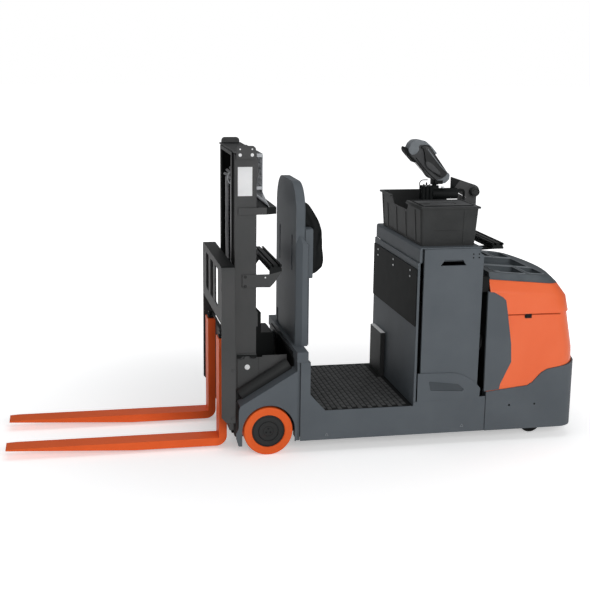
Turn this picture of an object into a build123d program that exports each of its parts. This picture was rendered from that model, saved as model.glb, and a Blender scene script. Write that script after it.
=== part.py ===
"""Center rider stacker: a stand-in electric pallet stacker with the operator
between the mast and the power unit.

Millimetres. X runs along the machine, fork tips at minus X, power unit at plus X.
Y is across, the near side of the photograph is minus Y. Z is up, the floor is Z = 0.
"""
import math
import os

from build123d import *

os.makedirs("parts", exist_ok=True)

# Driving dimensions
overall_width = 960.0
ground_clearance = 73.0
mast_height = 1803.0
mast_front_x = -411.0
fork_tip_x = -1749.0
fork_face_x = -508.0
unit_front_x = 1105.0
unit_rear_x = 1749.0
deck_top_z = 254.0
console_front_x = 647.0
console_rear_x = 1046.0
console_top_z = 1216.0
joint_gap = 5.0
seam = 2.0
half_width = overall_width / 2

# Side frames: plates that form the sills, the front pillars and the console sides
side_plate = 8.0
side_inset = 4.0
frame_front_x = -46.0
pillar_rear_x = 13.0
pillar_top_z = 555.0
pillar_return = 42.0
post_step = 14.0
opening_chamfer_x = 93.0
opening_chamfer_z = 103.0
sill_front_z = 278.0
sill_rear_z = 293.0

# Floor pan, bulkhead and cross beam of the operator's bay
deck_plate = 10.0
mat_thickness = 6.0
pan_bottom_z = 96.0
pan_wall = 10.0
bulkhead_plate = 12.0
beam_front_x = -69.0
beam_rear_x = -1.0
beam_top_z = 617.0
beam_wall = 8.0
beam_strip_depth = 8.0
beam_strip_low_z = 563.0
beam_strip_high_z = 589.0

# Back rest post with its side columns, and the padded cushion
post_front_x = -51.0
post_half_width = half_width - 170.0
post_top_z = 1582.0
post_corner_r = 175.0
post_upper_depth = 57.0
post_lower_depth = 83.0
post_wide_depth = 103.0
post_wide_bottom_z = 1020.0
post_wide_top_z = 1315.0
post_wide_r = 16.0
column_out = 30.0
column_face_x = -15.0
column_rear_x = 22.0
column_top_z = 1228.0
column_peak_z = 1276.0
column_peak_x = -29.0
column_taper = 0.12
groove_y = post_half_width - 120.0
groove_width = 28.0
groove_depth = 14.0
groove_low_z = 1052.0
groove_high_z = 1274.0
post_panel_half = post_half_width - 33.0
post_panel_top_z = 720.0
post_panel_depth = 5.0
cushion_half_width = post_half_width - 85.0
cushion_gap = 0.3

# Mast
rail_depth = 127.0
rail_web = 12.0
rail_flange = 12.0
rail_flange_width = 54.0
rail_bottom_z = 62.0
crosshead_drop = 42.0
crosshead_gap = 7.0
crosshead_z = mast_height - crosshead_drop
rail_top_z = crosshead_z - crosshead_gap
inner_front_x = mast_front_x - 10.0
inner_depth = 131.0
inner_flange_width = 42.0
inner_web = 8.0
inner_flange = 11.0
inner_bottom_z = 66.0
inner_tie_height = 54.0
crosshead_plate = 10.0
crosshead_lip = 20.0
cap_plate = 9.0
cap_bottom_z = mast_height - 75.0
cap_inset = 7.0
cap_corner_r = 22.0
cap_hole_pitch = 70.0
cap_hole_r = 10.0
cap_small_hole_r = 5.0
cap_hole_z = mast_height - 52.0
cap_small_hole_z = mast_height - 19.0
roller_r = 46.0
roller_width = 30.0
pin_r = 14.0
tie_plate = 9.0
middle_tie_z = 740.0
tail_anchor_z = middle_tie_z + 45.0

# Chains, sheaves and lift cylinders
chain_x = mast_front_x + 12.0
chain_pitch = 25.0
chain_link = 15.5
chain_width = 22.0
chain_depth = 24.0
chain_low_z = 340.0
sheave_z = mast_height - 228.0
sheave_r = 36.0
sheave_width = 26.0
cylinder_x = mast_front_x + 82.0
barrel_r = 31.0
barrel_bore_r = 22.0
barrel_bottom_z = 96.0
foot_shelf_z = 84.0
barrel_top_z = mast_height - 135.0
rod_gap = 0.3
rod_bottom_z = 300.0

# Carriage, load back rest and forks
fork_thickness = 47.0
fork_width = 130.0
fork_inner_y = 191.0
fork_top_z = 672.0
fork_heel_r = 62.0
blade_bottom_z = 17.0
blade_top_z = 67.0
blade_flat_to_x = -992.0
tip_bottom_z = 57.0
tip_top_z = 64.0
taper_length = 59.0
taper_start_x = fork_tip_x + taper_length
tip_half_width = 22.0
carriage_bar_depth = 24.0
carriage_bar_height = 92.0
carriage_low_z = 150.0
carriage_high_z = 560.0
rest_half_width = half_width - 35.0
rest_depth = 77.0
rest_side_plate = 12.0
rest_top_z = 1128.0
rest_bottom_z = 790.0
rest_side_bottom_z = 196.0
rest_panel = 9.0
rest_corner_r = 32.0
rest_window_low_z = 862.0
rest_window_high_z = 1088.0

# Load wheels and fenders
load_wheel_x = -237.0
load_wheel_r = 145.5
load_wheel_width = 108.0
load_hub_r = 97.0
load_groove_r = 59.0
wheel_side_gap = 2.0
axle_r = 22.0
arch_r = 157.0
arch_x = -235.0
fender_plate = 8.0
fender_front_x = -412.0
post_depth = 18.0
leg_gap = 16.0
mast_leg_gap = 34.0
fender_low_z = 305.0
fender_high_z = 505.0
leg_plate = 14.0

# Console above the battery
console_wall = 8.0
cap_seam_z = 1127.0
console_cap_setback = 9.0
console_cap_r = 14.0
door_front_x = 685.0
return_width = 14.0
door_rear_x = 1052.0
door_top_z = 1208.0
door_thickness = 20.0
cover_recess = 3.0
board_thickness = 6.0
board_half_width = half_width - 10.0
board_low_z = 743.0
board_high_z = 1088.0
post_box_depth = 30.0
post_box_inset = 55.0
post_box_width = 255.0
post_box_top_z = 526.0
post_cap_height = 18.0
battery_length = 330.0
battery_width = overall_width - 160.0
battery_height = 620.0

# Open bin that stands across the console top
bin_length = 384.0
bin_width = overall_width - 80.0
bin_height = 230.0
bin_centre_x = 847.0
bin_wall = 5.0
bin_draft = 26.0
bin_rim = 12.0
bin_rim_height = 9.0
bin_dip = 52.0
bin_dip_half = 140.0
bin_dip_run = 40.0
bin_dip_r = 12.0
bin_recess = 3.0
bin_rib_pitch = 196.0
bin_rib_width = 18.0
bin_panel_half = 88.0
bin_panel_low = 12.0
bin_panel_drop = 24.0
bin_band_height = 92.0
bin_band_line = 7.0
lid_length = 284.0
lid_plate = 4.0
lid_field = 3.0
lid_border = 24.0
lid_recess_length = 150.0
lid_recess_width = 70.0

# Power unit
skirt_wall = 12.0
unit_corner_r = 110.0
crown_angle = 15.4
hood_wall = 9.0
hood_slope = 5.3
brow_low_z = 797.0
deck_rear_z = 296.0
deck_rear_plate = 12.0
well_r = 188.0
well_wall = 8.0
well_top_z = 400.0

# Drive wheel and casters
drive_wheel_x = 1339.0
drive_wheel_r = 165.0
drive_wheel_width = 130.0
drive_hub_r = 112.0
caster_x = 1420.0
caster_y = half_width - 150.0
caster_wheel_r = 70.0
caster_wheel_width = 46.0
caster_trail = 40.0
fork_plate = 10.0


# Faces that several pieces share
side_outer_y = half_width - side_inset
side_inner_y = side_outer_y - side_plate
fender_rear_x = frame_front_x - post_depth
wheel_outer_y = half_width - wheel_side_gap
wheel_inner_y = wheel_outer_y - load_wheel_width
leg_outer_y = wheel_inner_y - leg_gap
leg_inner_y = leg_outer_y - leg_plate
mast_half_width = leg_inner_y - mast_leg_gap
inner_outer_y = mast_half_width - rail_flange_width - joint_gap
arm_plate = 12.0
arm_y = inner_outer_y - inner_flange_width - joint_gap - arm_plate / 2
cylinder_y = arm_y - arm_plate / 2 - barrel_r - 7.0
chain_y = cylinder_y - barrel_r - chain_width / 2 - 5.0
post_box_y = half_width - post_box_inset - post_box_width


def plate_outline(points, mode=Mode.ADD):
    """Add a closed straight-sided outline to the sketch that is open."""
    with BuildSketch(Plane.XY) as shape:
        with BuildLine():
            Polyline(*points, close=True)
        make_face()
    add(shape.sketch, mode=mode)


def near_side(y_outer):
    """Plane of the XZ outline whose extrusion runs inward from y = -y_outer."""
    return Plane(origin=(0, -y_outer, 0), x_dir=(1, 0, 0), z_dir=(0, 1, 0))


def xz(points):
    """Outline points given as (x, z) for a near-side plane, whose own y is -z."""
    return [(x, -z) for x, z in points]


# Side frames
for side, sign in (("near", 1), ("far", -1)):
    sill = [
        (frame_front_x, ground_clearance),
        (unit_front_x - seam, ground_clearance),
        (unit_front_x - seam, sill_rear_z),
        (console_front_x, sill_front_z),
        (console_front_x, deck_top_z),
        (pillar_rear_x + opening_chamfer_x, deck_top_z),
        (pillar_rear_x, deck_top_z + opening_chamfer_z),
        (pillar_rear_x, pillar_top_z),
        (frame_front_x, pillar_top_z),
    ]
    with BuildPart() as side_frame:
        with BuildSketch(near_side(side_outer_y)):
            plate_outline(xz(sill))
        extrude(amount=side_plate)
        with BuildSketch(near_side(side_inner_y)):
            plate_outline(xz([
                (pillar_rear_x - side_plate, deck_top_z + opening_chamfer_z),
                (pillar_rear_x, deck_top_z + opening_chamfer_z),
                (pillar_rear_x, pillar_top_z),
                (pillar_rear_x - side_plate, pillar_top_z),
            ]))
        extrude(amount=pillar_return)
        # Corner post towards the fender, set back by a shallow step
        with BuildSketch(near_side(side_outer_y - post_step)):
            plate_outline(xz([
                (fender_rear_x, ground_clearance), (frame_front_x, ground_clearance),
                (frame_front_x, pillar_top_z), (fender_rear_x, pillar_top_z),
            ]))
        extrude(amount=side_outer_y - post_step - leg_outer_y)
        if sign < 0:
            mirror(about=Plane.XZ, mode=Mode.REPLACE)
    side_frame.part.label = f"side_frame_{side}"
    export_step(side_frame.part, f"parts/side_frame_{side}.step")

# Floor pan: deck plate over a box of cross plates, open below
floor_rib_y = half_width - 180.0
pan_length = unit_front_x - frame_front_x
pan_centre_x = (unit_front_x + frame_front_x) / 2
with BuildPart() as floor_pan:
    with BuildSketch(Plane.XY.offset(deck_top_z - mat_thickness - deck_plate)):
        with Locations((pan_centre_x, 0)):
            Rectangle(pan_length, 2 * side_inner_y)
    extrude(amount=deck_plate)
    rib_height = deck_top_z - mat_thickness - deck_plate - pan_bottom_z
    with BuildSketch(Plane.XY.offset(pan_bottom_z)):
        for rib_x in (frame_front_x + pan_wall / 2, 60.0, 320.0, console_front_x,
                      console_rear_x, unit_front_x - pan_wall / 2):
            with Locations((rib_x, 0)):
                Rectangle(pan_wall, 2 * side_inner_y)
        for rib_y in (-floor_rib_y, floor_rib_y):
            with Locations((pan_centre_x, rib_y)):
                Rectangle(pan_length, pan_wall)
    extrude(amount=rib_height)
    # Bulkhead between the bay and the load wheels
    with BuildSketch(Plane.XY.offset(deck_top_z - mat_thickness)):
        with Locations((frame_front_x + bulkhead_plate / 2, 0)):
            Rectangle(bulkhead_plate, 2 * side_inner_y)
    extrude(amount=pillar_top_z - deck_top_z + mat_thickness)
floor_pan.part.label = "floor_pan"
export_step(floor_pan.part, "parts/floor_pan.step")

# Cross beam: folded channel, open below, that caps both pillars
with BuildPart() as cross_beam:
    with BuildSketch(near_side(side_outer_y)):
        plate_outline(xz([
            (beam_front_x, pillar_top_z), (beam_rear_x, pillar_top_z),
            (beam_rear_x, beam_top_z), (beam_front_x, beam_top_z),
        ]))
    extrude(amount=2 * side_outer_y)
    # Sealing strip along the front flange
    with BuildSketch(near_side(leg_outer_y)):
        plate_outline(xz([
            (beam_front_x - beam_strip_depth, beam_strip_low_z),
            (beam_front_x, beam_strip_low_z), (beam_front_x, beam_strip_high_z),
            (beam_front_x - beam_strip_depth, beam_strip_high_z),
        ]))
    extrude(amount=2 * leg_outer_y)
    with BuildSketch(near_side(side_outer_y - beam_wall)):
        plate_outline(xz([
            (beam_front_x + beam_wall, pillar_top_z),
            (beam_rear_x - beam_wall, pillar_top_z),
            (beam_rear_x - beam_wall, beam_top_z - beam_wall),
            (beam_front_x + beam_wall, beam_top_z - beam_wall),
        ]))
    extrude(amount=2 * (side_outer_y - beam_wall), mode=Mode.SUBTRACT)
    with BuildSketch(Plane.XY.offset(pillar_top_z)):
        with Locations((frame_front_x + bulkhead_plate / 2, 0)):
            Rectangle(bulkhead_plate, 2 * (side_outer_y - beam_wall))
    extrude(amount=beam_top_z - beam_wall - pillar_top_z)
cross_beam.part.label = "cross_beam"
export_step(cross_beam.part, "parts/cross_beam.step")

# Standing mat
with BuildPart() as floor_mat:
    with BuildSketch(Plane.XY.offset(deck_top_z - mat_thickness)):
        mat_front = frame_front_x + bulkhead_plate
        with Locations(((mat_front + console_front_x) / 2, 0)):
            Rectangle(console_front_x - mat_front, 2 * side_inner_y)
        with Locations((console_front_x - post_box_depth / 2,
                        post_box_y + post_box_width / 2)):
            Rectangle(post_box_depth + 2 * seam, post_box_width + 2 * seam,
                      mode=Mode.SUBTRACT)
    extrude(amount=mat_thickness)
floor_mat.part.label = "floor_mat"
export_step(floor_mat.part, "parts/floor_mat.step")

# Back rest post: rounded slab, thicker around the cushion, with a column at each side
with BuildPart() as back_post:
    with BuildSketch(Plane.YZ.offset(post_front_x)):
        with Locations((0, (post_top_z + beam_top_z) / 2)):
            Rectangle(2 * post_half_width, post_top_z - beam_top_z)
    extrude(amount=post_upper_depth)
    fillet(back_post.edges().filter_by(Axis.X).group_by(Axis.Z)[-1], post_corner_r)
    fillet(back_post.faces().sort_by(Axis.X)[-1].edges().group_by(Axis.Z)[-1], 12)
    with BuildSketch(Plane.YZ.offset(post_front_x + post_upper_depth)):
        with Locations((0, (post_wide_bottom_z + beam_top_z) / 2)):
            Rectangle(2 * post_half_width, post_wide_bottom_z - beam_top_z)
    extrude(amount=post_lower_depth - post_upper_depth)
    with BuildSketch(Plane.YZ.offset(post_front_x + post_upper_depth)):
        with Locations((0, (post_wide_bottom_z + post_wide_top_z) / 2)):
            RectangleRounded(2 * post_half_width, post_wide_top_z - post_wide_bottom_z,
                             post_wide_r)
    extrude(amount=post_wide_depth - post_upper_depth)
    # Pressed side columns, each folded to three faces and closed to a peak
    for sign in (-1, 1):
        column_plan = [
            (post_front_x, sign * post_half_width),
            (post_front_x + 4, sign * (post_half_width + 6)),
            (column_face_x, sign * (post_half_width + column_out)),
            (column_rear_x - 6, sign * (post_half_width + column_out)),
            (column_rear_x, sign * (post_half_width + column_out - 8)),
            (column_rear_x, sign * post_half_width),
        ]
        with BuildSketch(Plane.XY.offset(beam_top_z)):
            plate_outline(column_plan)
        extrude(amount=column_top_z - beam_top_z)
        with BuildSketch(Plane.XY.offset(column_top_z)):
            plate_outline(column_plan)
        with BuildSketch(Plane.XY.offset(column_peak_z)):
            plate_outline([
                (column_peak_x + column_taper * (x - column_peak_x),
                 sign * (post_half_width + column_taper * (abs(y) - post_half_width)))
                for x, y in column_plan])
        loft(ruled=True)
    # Shallow panel pressed into the foot of the front face
    with BuildSketch(Plane.YZ.offset(post_front_x)):
        with Locations((0, (beam_top_z + post_panel_top_z) / 2)):
            Rectangle(2 * post_panel_half, post_panel_top_z - beam_top_z)
    extrude(amount=post_panel_depth, mode=Mode.SUBTRACT)
    with BuildSketch(Plane.YZ.offset(post_front_x)):
        with Locations((groove_y, (groove_low_z + groove_high_z) / 2),
                       (-groove_y, (groove_low_z + groove_high_z) / 2)):
            RectangleRounded(groove_width, groove_high_z - groove_low_z,
                             groove_width / 2 - 0.1)
    extrude(amount=groove_depth, mode=Mode.SUBTRACT)
back_post.part.label = "back_post"
export_step(back_post.part, "parts/back_post.step")

# Back rest cushion, a plain closed form here
with BuildPart() as cushion:
    pad_low_x = post_front_x + post_wide_depth + cushion_gap
    pad_high_x = post_front_x + post_upper_depth + cushion_gap
    with BuildSketch(near_side(cushion_half_width)):
        plate_outline(xz([
            (pad_high_x, post_wide_top_z + 161), (pad_high_x + 36, post_wide_top_z + 143),
            (pad_high_x + 86, post_wide_top_z + 67), (pad_low_x + 73, post_wide_top_z - 3),
            (pad_low_x + 88, post_wide_bottom_z + 46),
            (pad_low_x + 56, post_wide_bottom_z + 16),
            (pad_low_x + 24, post_wide_bottom_z + 4), (pad_low_x, post_wide_bottom_z + 4),
            (pad_low_x, post_wide_top_z + cushion_gap),
            (pad_high_x, post_wide_top_z + cushion_gap),
        ]))
    extrude(amount=2 * cushion_half_width)
cushion.part.label = "back_cushion"
export_step(cushion.part, "parts/back_cushion.step")

# Outer mast: two channels that open inward, with plate ties behind them
rail_rear_x = mast_front_x + rail_depth
with BuildPart() as outer_mast:
    with BuildSketch(Plane.XY.offset(rail_bottom_z)):
        for sign in (-1, 1):
            with Locations((mast_front_x + rail_depth / 2,
                            sign * (mast_half_width - rail_flange_width / 2))):
                Rectangle(rail_depth, rail_flange_width)
            with Locations((mast_front_x + rail_depth / 2,
                            sign * (mast_half_width - rail_web - rail_flange_width / 2))):
                Rectangle(rail_depth - 2 * rail_flange, rail_flange_width,
                          mode=Mode.SUBTRACT)
    extrude(amount=rail_top_z - rail_bottom_z)
    # (bottom z, height) of each tie
    for tie_z, tie_height in ((foot_shelf_z, 160.0), (middle_tie_z, 90.0),
                              (mast_height - 178.0, 110.0)):
        with BuildSketch(Plane.XY.offset(tie_z)):
            with Locations((rail_rear_x + tie_plate / 2, 0)):
                Rectangle(tie_plate, 2 * mast_half_width)
        extrude(amount=tie_height)
    # Shelf that the lift cylinders stand on
    with BuildSketch(Plane.XY.offset(foot_shelf_z)):
        with Locations(((cylinder_x - barrel_r + rail_rear_x) / 2, 0)):
            Rectangle(rail_rear_x - cylinder_x + barrel_r, 2 * (cylinder_y + barrel_r))
    extrude(amount=barrel_bottom_z - foot_shelf_z)
outer_mast.part.label = "outer_mast"
export_step(outer_mast.part, "parts/outer_mast.step")

# Inner mast: two channels that open inward, with rollers that run in the outer rails
inner_centre_x = inner_front_x + inner_depth / 2
with BuildPart() as inner_mast:
    with BuildSketch(Plane.XY.offset(inner_bottom_z)):
        for sign in (-1, 1):
            with Locations((inner_centre_x,
                            sign * (inner_outer_y - inner_flange_width / 2))):
                Rectangle(inner_depth, inner_flange_width)
            with Locations((inner_centre_x,
                            sign * (inner_outer_y - inner_web - inner_flange_width / 2))):
                Rectangle(inner_depth - 2 * inner_flange, inner_flange_width,
                          mode=Mode.SUBTRACT)
    extrude(amount=crosshead_z - inner_bottom_z)
    # Lower tie between the rails, below the carriage
    with BuildSketch(Plane.XY.offset(inner_bottom_z)):
        with Locations((inner_front_x + inner_flange / 2, 0)):
            Rectangle(inner_flange, 2 * inner_outer_y - inner_flange_width)
    extrude(amount=inner_tie_height)
    # Crosshead plate with its front lip, and the holed cap plates at both ends
    head_front_x = mast_front_x - joint_gap
    with BuildSketch(Plane.XY.offset(crosshead_z)):
        with Locations(((head_front_x + rail_rear_x) / 2, 0)):
            Rectangle(rail_rear_x - head_front_x,
                      2 * (mast_half_width + joint_gap + cap_plate))
    extrude(amount=crosshead_plate)
    with BuildSketch(Plane.XY.offset(crosshead_z - crosshead_lip)):
        with Locations((inner_front_x + inner_flange / 2, 0)):
            Rectangle(inner_flange, 2 * (inner_outer_y - inner_flange_width))
    extrude(amount=crosshead_lip)
    for sign in (-1, 1):
        with BuildSketch(Plane.XZ.offset(-sign * (mast_half_width + joint_gap))):
            with Locations((mast_front_x + rail_depth / 2,
                            (cap_bottom_z + mast_height) / 2)):
                Rectangle(rail_depth - 2 * cap_inset, mast_height - cap_bottom_z)
            fillet(vertices().group_by(Axis.Y)[-1], cap_corner_r)
            with Locations((mast_front_x + rail_depth / 2, cap_hole_z)):
                with GridLocations(cap_hole_pitch, 1, 2, 1):
                    Circle(cap_hole_r, mode=Mode.SUBTRACT)
            with Locations((mast_front_x + rail_depth / 2, cap_small_hole_z)):
                with GridLocations(cap_hole_pitch, 1, 2, 1):
                    Circle(cap_small_hole_r, mode=Mode.SUBTRACT)
        extrude(amount=-sign * cap_plate)
    # Rollers on stub pins near the foot and at mid height
    roller_y = mast_half_width - rail_web - joint_gap - roller_width / 2
    for roller_z in (170.0, 620.0):
        for sign in (-1, 1):
            with BuildSketch(Plane.XZ.offset(sign * (roller_y + roller_width / 2))):
                with Locations((mast_front_x + rail_depth / 2, roller_z)):
                    Circle(roller_r)
            extrude(amount=-sign * roller_width)
            with BuildSketch(Plane.XZ.offset(sign * roller_y)):
                with Locations((mast_front_x + rail_depth / 2, roller_z)):
                    Circle(pin_r)
            extrude(amount=-sign * (roller_y - inner_outer_y + inner_web / 2))
inner_mast.part.label = "inner_mast"
export_step(inner_mast.part, "parts/inner_mast.step")

# Sheaves with their yokes, under the crosshead
sheave_x = chain_x + sheave_r + chain_depth / 2
yoke_plate = 5.0
yoke_length = 44.0
with BuildPart() as sheaves:
    for sign in (-1, 1):
        yoke_y = sign * (chain_y - sheave_width / 2 - yoke_plate / 2 - 0.5)
        with BuildSketch(Plane.XZ.offset(-(yoke_y + yoke_plate / 2))):
            with Locations((sheave_x, (crosshead_z + sheave_z - 20) / 2)):
                Rectangle(yoke_length, crosshead_z - sheave_z + 20)
        extrude(amount=yoke_plate)
        wheel_y = sign * chain_y
        with BuildSketch(Plane.XZ.offset(-(wheel_y + sheave_width / 2))):
            with Locations((sheave_x, sheave_z)):
                Circle(sheave_r)
        extrude(amount=sheave_width)
        with BuildSketch(Plane.XZ.offset(-(wheel_y + sheave_width / 2))):
            with Locations((sheave_x, sheave_z)):
                Circle(pin_r)
        if sign > 0:
            extrude(amount=sheave_width + yoke_plate)
        else:
            extrude(amount=-(yoke_plate + 0.5))
            with BuildSketch(Plane.XZ.offset(-(wheel_y + sheave_width / 2))):
                with Locations((sheave_x, sheave_z)):
                    Circle(pin_r)
            extrude(amount=sheave_width)
sheaves.part.label = "chain_sheaves"
export_step(sheaves.part, "parts/chain_sheaves.step")

# Leaf chains: the run from each sheave down to the carriage, links by pitch
chain_length = sheave_z - chain_low_z
link_count = int(chain_length // chain_pitch)
with BuildPart() as lift_chains:
    for sign in (-1, 1):
        with BuildSketch(Plane.XZ.offset(-(sign * chain_y + chain_width / 2))):
            with Locations((chain_x, (sheave_z + chain_low_z) / 2)):
                Rectangle(chain_depth * 0.55, chain_length)
            for link in range(link_count):
                with Locations((chain_x, sheave_z - chain_link / 2 - link * chain_pitch)):
                    Rectangle(chain_depth, chain_link)
        extrude(amount=chain_width)
lift_chains.part.label = "lift_chains"
export_step(lift_chains.part, "parts/lift_chains.step")

# Fixed rear runs with their anchors on the middle tie
rear_run_x = sheave_x + sheave_r + chain_depth / 2
with BuildPart() as chain_tails:
    for sign in (-1, 1):
        with BuildSketch(Plane.XZ.offset(-(sign * chain_y + chain_width / 2))):
            with Locations((rear_run_x, (sheave_z + tail_anchor_z) / 2)):
                Rectangle(chain_depth - 0.8, sheave_z - tail_anchor_z)
        extrude(amount=chain_width)
        with BuildSketch(Plane.XZ.offset(-(sign * chain_y + chain_width / 2 + 3))):
            with Locations(((rear_run_x + rail_rear_x) / 2, tail_anchor_z)):
                Rectangle(rail_rear_x - rear_run_x, 30)
        extrude(amount=chain_width + 6)
chain_tails.part.label = "chain_tails"
export_step(chain_tails.part, "parts/chain_tails.step")

# Lift cylinders: hollow barrels on the outer mast, rods under the crosshead
for name, outer_r, inner_r, low_z, high_z in (
    ("cylinder_barrels", barrel_r, barrel_bore_r, barrel_bottom_z, barrel_top_z),
    ("cylinder_rods", barrel_bore_r - rod_gap, 0.0, rod_bottom_z, crosshead_z),
):
    with BuildPart() as tube:
        with BuildSketch(Plane.XY.offset(low_z)):
            with Locations((cylinder_x, -cylinder_y), (cylinder_x, cylinder_y)):
                Circle(outer_r)
                if inner_r:
                    Circle(inner_r, mode=Mode.SUBTRACT)
        extrude(amount=high_z - low_z)
    tube.part.label = name
    export_step(tube.part, f"parts/{name}.step")

# Upper guard: flat bar bent round the back of the mast, under a closed top plate
guard_low_z = mast_height - 397.0
guard_height = 41.0
guard_plate = 8.0
guard_top_plate = 5.0
guard_front_x = -392.0
guard_corner_x = -226.0
guard_rear_x = -164.0
guard_rear_y = mast_half_width - 20.0


def guard_path(inset):
    """Plan outline of the guard, moved inward by inset."""
    y = mast_half_width + guard_plate - inset
    return [(guard_front_x, -y), (guard_corner_x - inset * 0.4, -y),
            (guard_rear_x - inset, -guard_rear_y + inset * 0.5),
            (guard_rear_x - inset, guard_rear_y - inset * 0.5),
            (guard_corner_x - inset * 0.4, y), (guard_front_x, y)]


with BuildPart() as upper_guard:
    with BuildSketch(Plane.XY.offset(guard_low_z)):
        plate_outline(guard_path(0))
        plate_outline(guard_path(guard_plate), mode=Mode.SUBTRACT)
    extrude(amount=guard_height)
    # Top plate behind the rails
    with BuildSketch(Plane.XY.offset(guard_low_z + guard_height - guard_top_plate)):
        plate_outline(guard_path(guard_plate / 2))
        with Locations((mast_front_x, 0)):
            Rectangle(2 * rail_depth, 4 * mast_half_width, mode=Mode.SUBTRACT)
    extrude(amount=guard_top_plate)
    with BuildSketch(Plane.XY.offset(guard_low_z)):
        with Locations((mast_front_x, 0)):
            Rectangle(2 * rail_depth - 1, 2 * mast_half_width)
    extrude(amount=guard_height, mode=Mode.SUBTRACT)
upper_guard.part.label = "upper_guard"
export_step(upper_guard.part, "parts/upper_guard.step")

# Mesh screen behind the top of the mast
screen_x = -249.0
screen_low_z = mast_height - 266.0
screen_high_z = mast_height - 46.0
screen_wire = 3.0
screen_pitch = 32.0
screen_border = 9.0
screen_half_width = mast_half_width - 6.0
screen_foot_x = guard_rear_x - 44.0
screen_foot_z = guard_low_z + guard_height


def mesh_panel(low, high):
    """Framed mesh across the machine between two (x, z) edges."""
    run = math.dist(low, high)
    lean = Plane(origin=((low[0] + high[0]) / 2, 0, (low[1] + high[1]) / 2),
                 x_dir=(0, 1, 0), z_dir=(high[1] - low[1], 0, low[0] - high[0]))
    with BuildSketch(Plane.XY) as mesh:
        Rectangle(2 * screen_half_width, run)
        Rectangle(2 * (screen_half_width - screen_border), run - 2 * screen_border,
                  mode=Mode.SUBTRACT)
        with GridLocations(screen_pitch, 1, int(2 * screen_half_width // screen_pitch), 1):
            Rectangle(screen_wire, run)
        with GridLocations(1, screen_pitch, 1, int(run // screen_pitch)):
            Rectangle(2 * screen_half_width, screen_wire)
    extrude(lean * mesh.sketch, amount=-screen_wire)


with BuildPart() as guard_screen:
    mesh_panel((screen_x, screen_low_z), (screen_x, screen_high_z))
    mesh_panel((screen_foot_x, screen_foot_z + 1.5), (screen_x, screen_low_z))
    # Stand-offs that carry the screen on the mast rails
    for stand_z in (screen_low_z + 22, screen_high_z - 11):
        for sign in (-1, 1):
            with BuildSketch(Plane.YZ.offset(rail_rear_x)):
                with Locations((sign * (screen_half_width - 14), stand_z)):
                    Rectangle(24, 18)
            extrude(amount=screen_x - rail_rear_x)
guard_screen.part.label = "guard_screen"
export_step(guard_screen.part, "parts/guard_screen.step")


rail_slot = 10.0
rail_slot_depth = 14.0
rail_edge_slot = 5.0


def accessory_rail(centre_x, top_z, half_length, width, height):
    """Slotted aluminium rail across the machine, extruded along Y."""
    with BuildSketch(Plane.XZ.offset(-half_length)) as profile:
        with Locations((centre_x, top_z - height / 2)):
            Rectangle(width, height)
        # Two undercut slots in the top and one in each edge
        for slot_x in (centre_x - width / 4, centre_x + width / 4):
            with Locations((slot_x, top_z - rail_slot_depth / 2)):
                Rectangle(rail_slot, rail_slot_depth, mode=Mode.SUBTRACT)
            with Locations((slot_x, top_z - rail_slot_depth + 3)):
                Rectangle(2 * rail_slot, 6, mode=Mode.SUBTRACT)
        for edge_x in (centre_x - width / 2, centre_x + width / 2):
            with Locations((edge_x, top_z - height / 2)):
                Rectangle(2 * rail_edge_slot, rail_slot, mode=Mode.SUBTRACT)
    extrude(profile.sketch, amount=2 * half_length)


# Front accessory rail on two side brackets
rail_x = -171.0
rail_below_guard = 296.0
rail_z = guard_low_z - rail_below_guard
rail_width = 74.0
rail_height = 37.0
bracket_step_z = rail_z - 56.0
with BuildPart() as front_rail:
    accessory_rail(rail_x, rail_z, mast_half_width + guard_plate, rail_width, rail_height)
    for bracket_y in (mast_half_width + guard_plate, -mast_half_width):
        with BuildSketch(near_side(bracket_y)):
            plate_outline(xz([
                (mast_front_x + 43, bracket_step_z), (mast_front_x + 43, rail_z - 130),
                (mast_front_x + 207, rail_z - 135), (mast_front_x + 231, rail_z - 110),
                (rail_x + rail_width / 2 + 4, rail_z - rail_height),
                (rail_x - rail_width / 2, rail_z - rail_height),
                (rail_x - rail_width / 2, bracket_step_z),
            ]))
        extrude(amount=guard_plate)
front_rail.part.label = "front_rail"
export_step(front_rail.part, "parts/front_rail.step")

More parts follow.
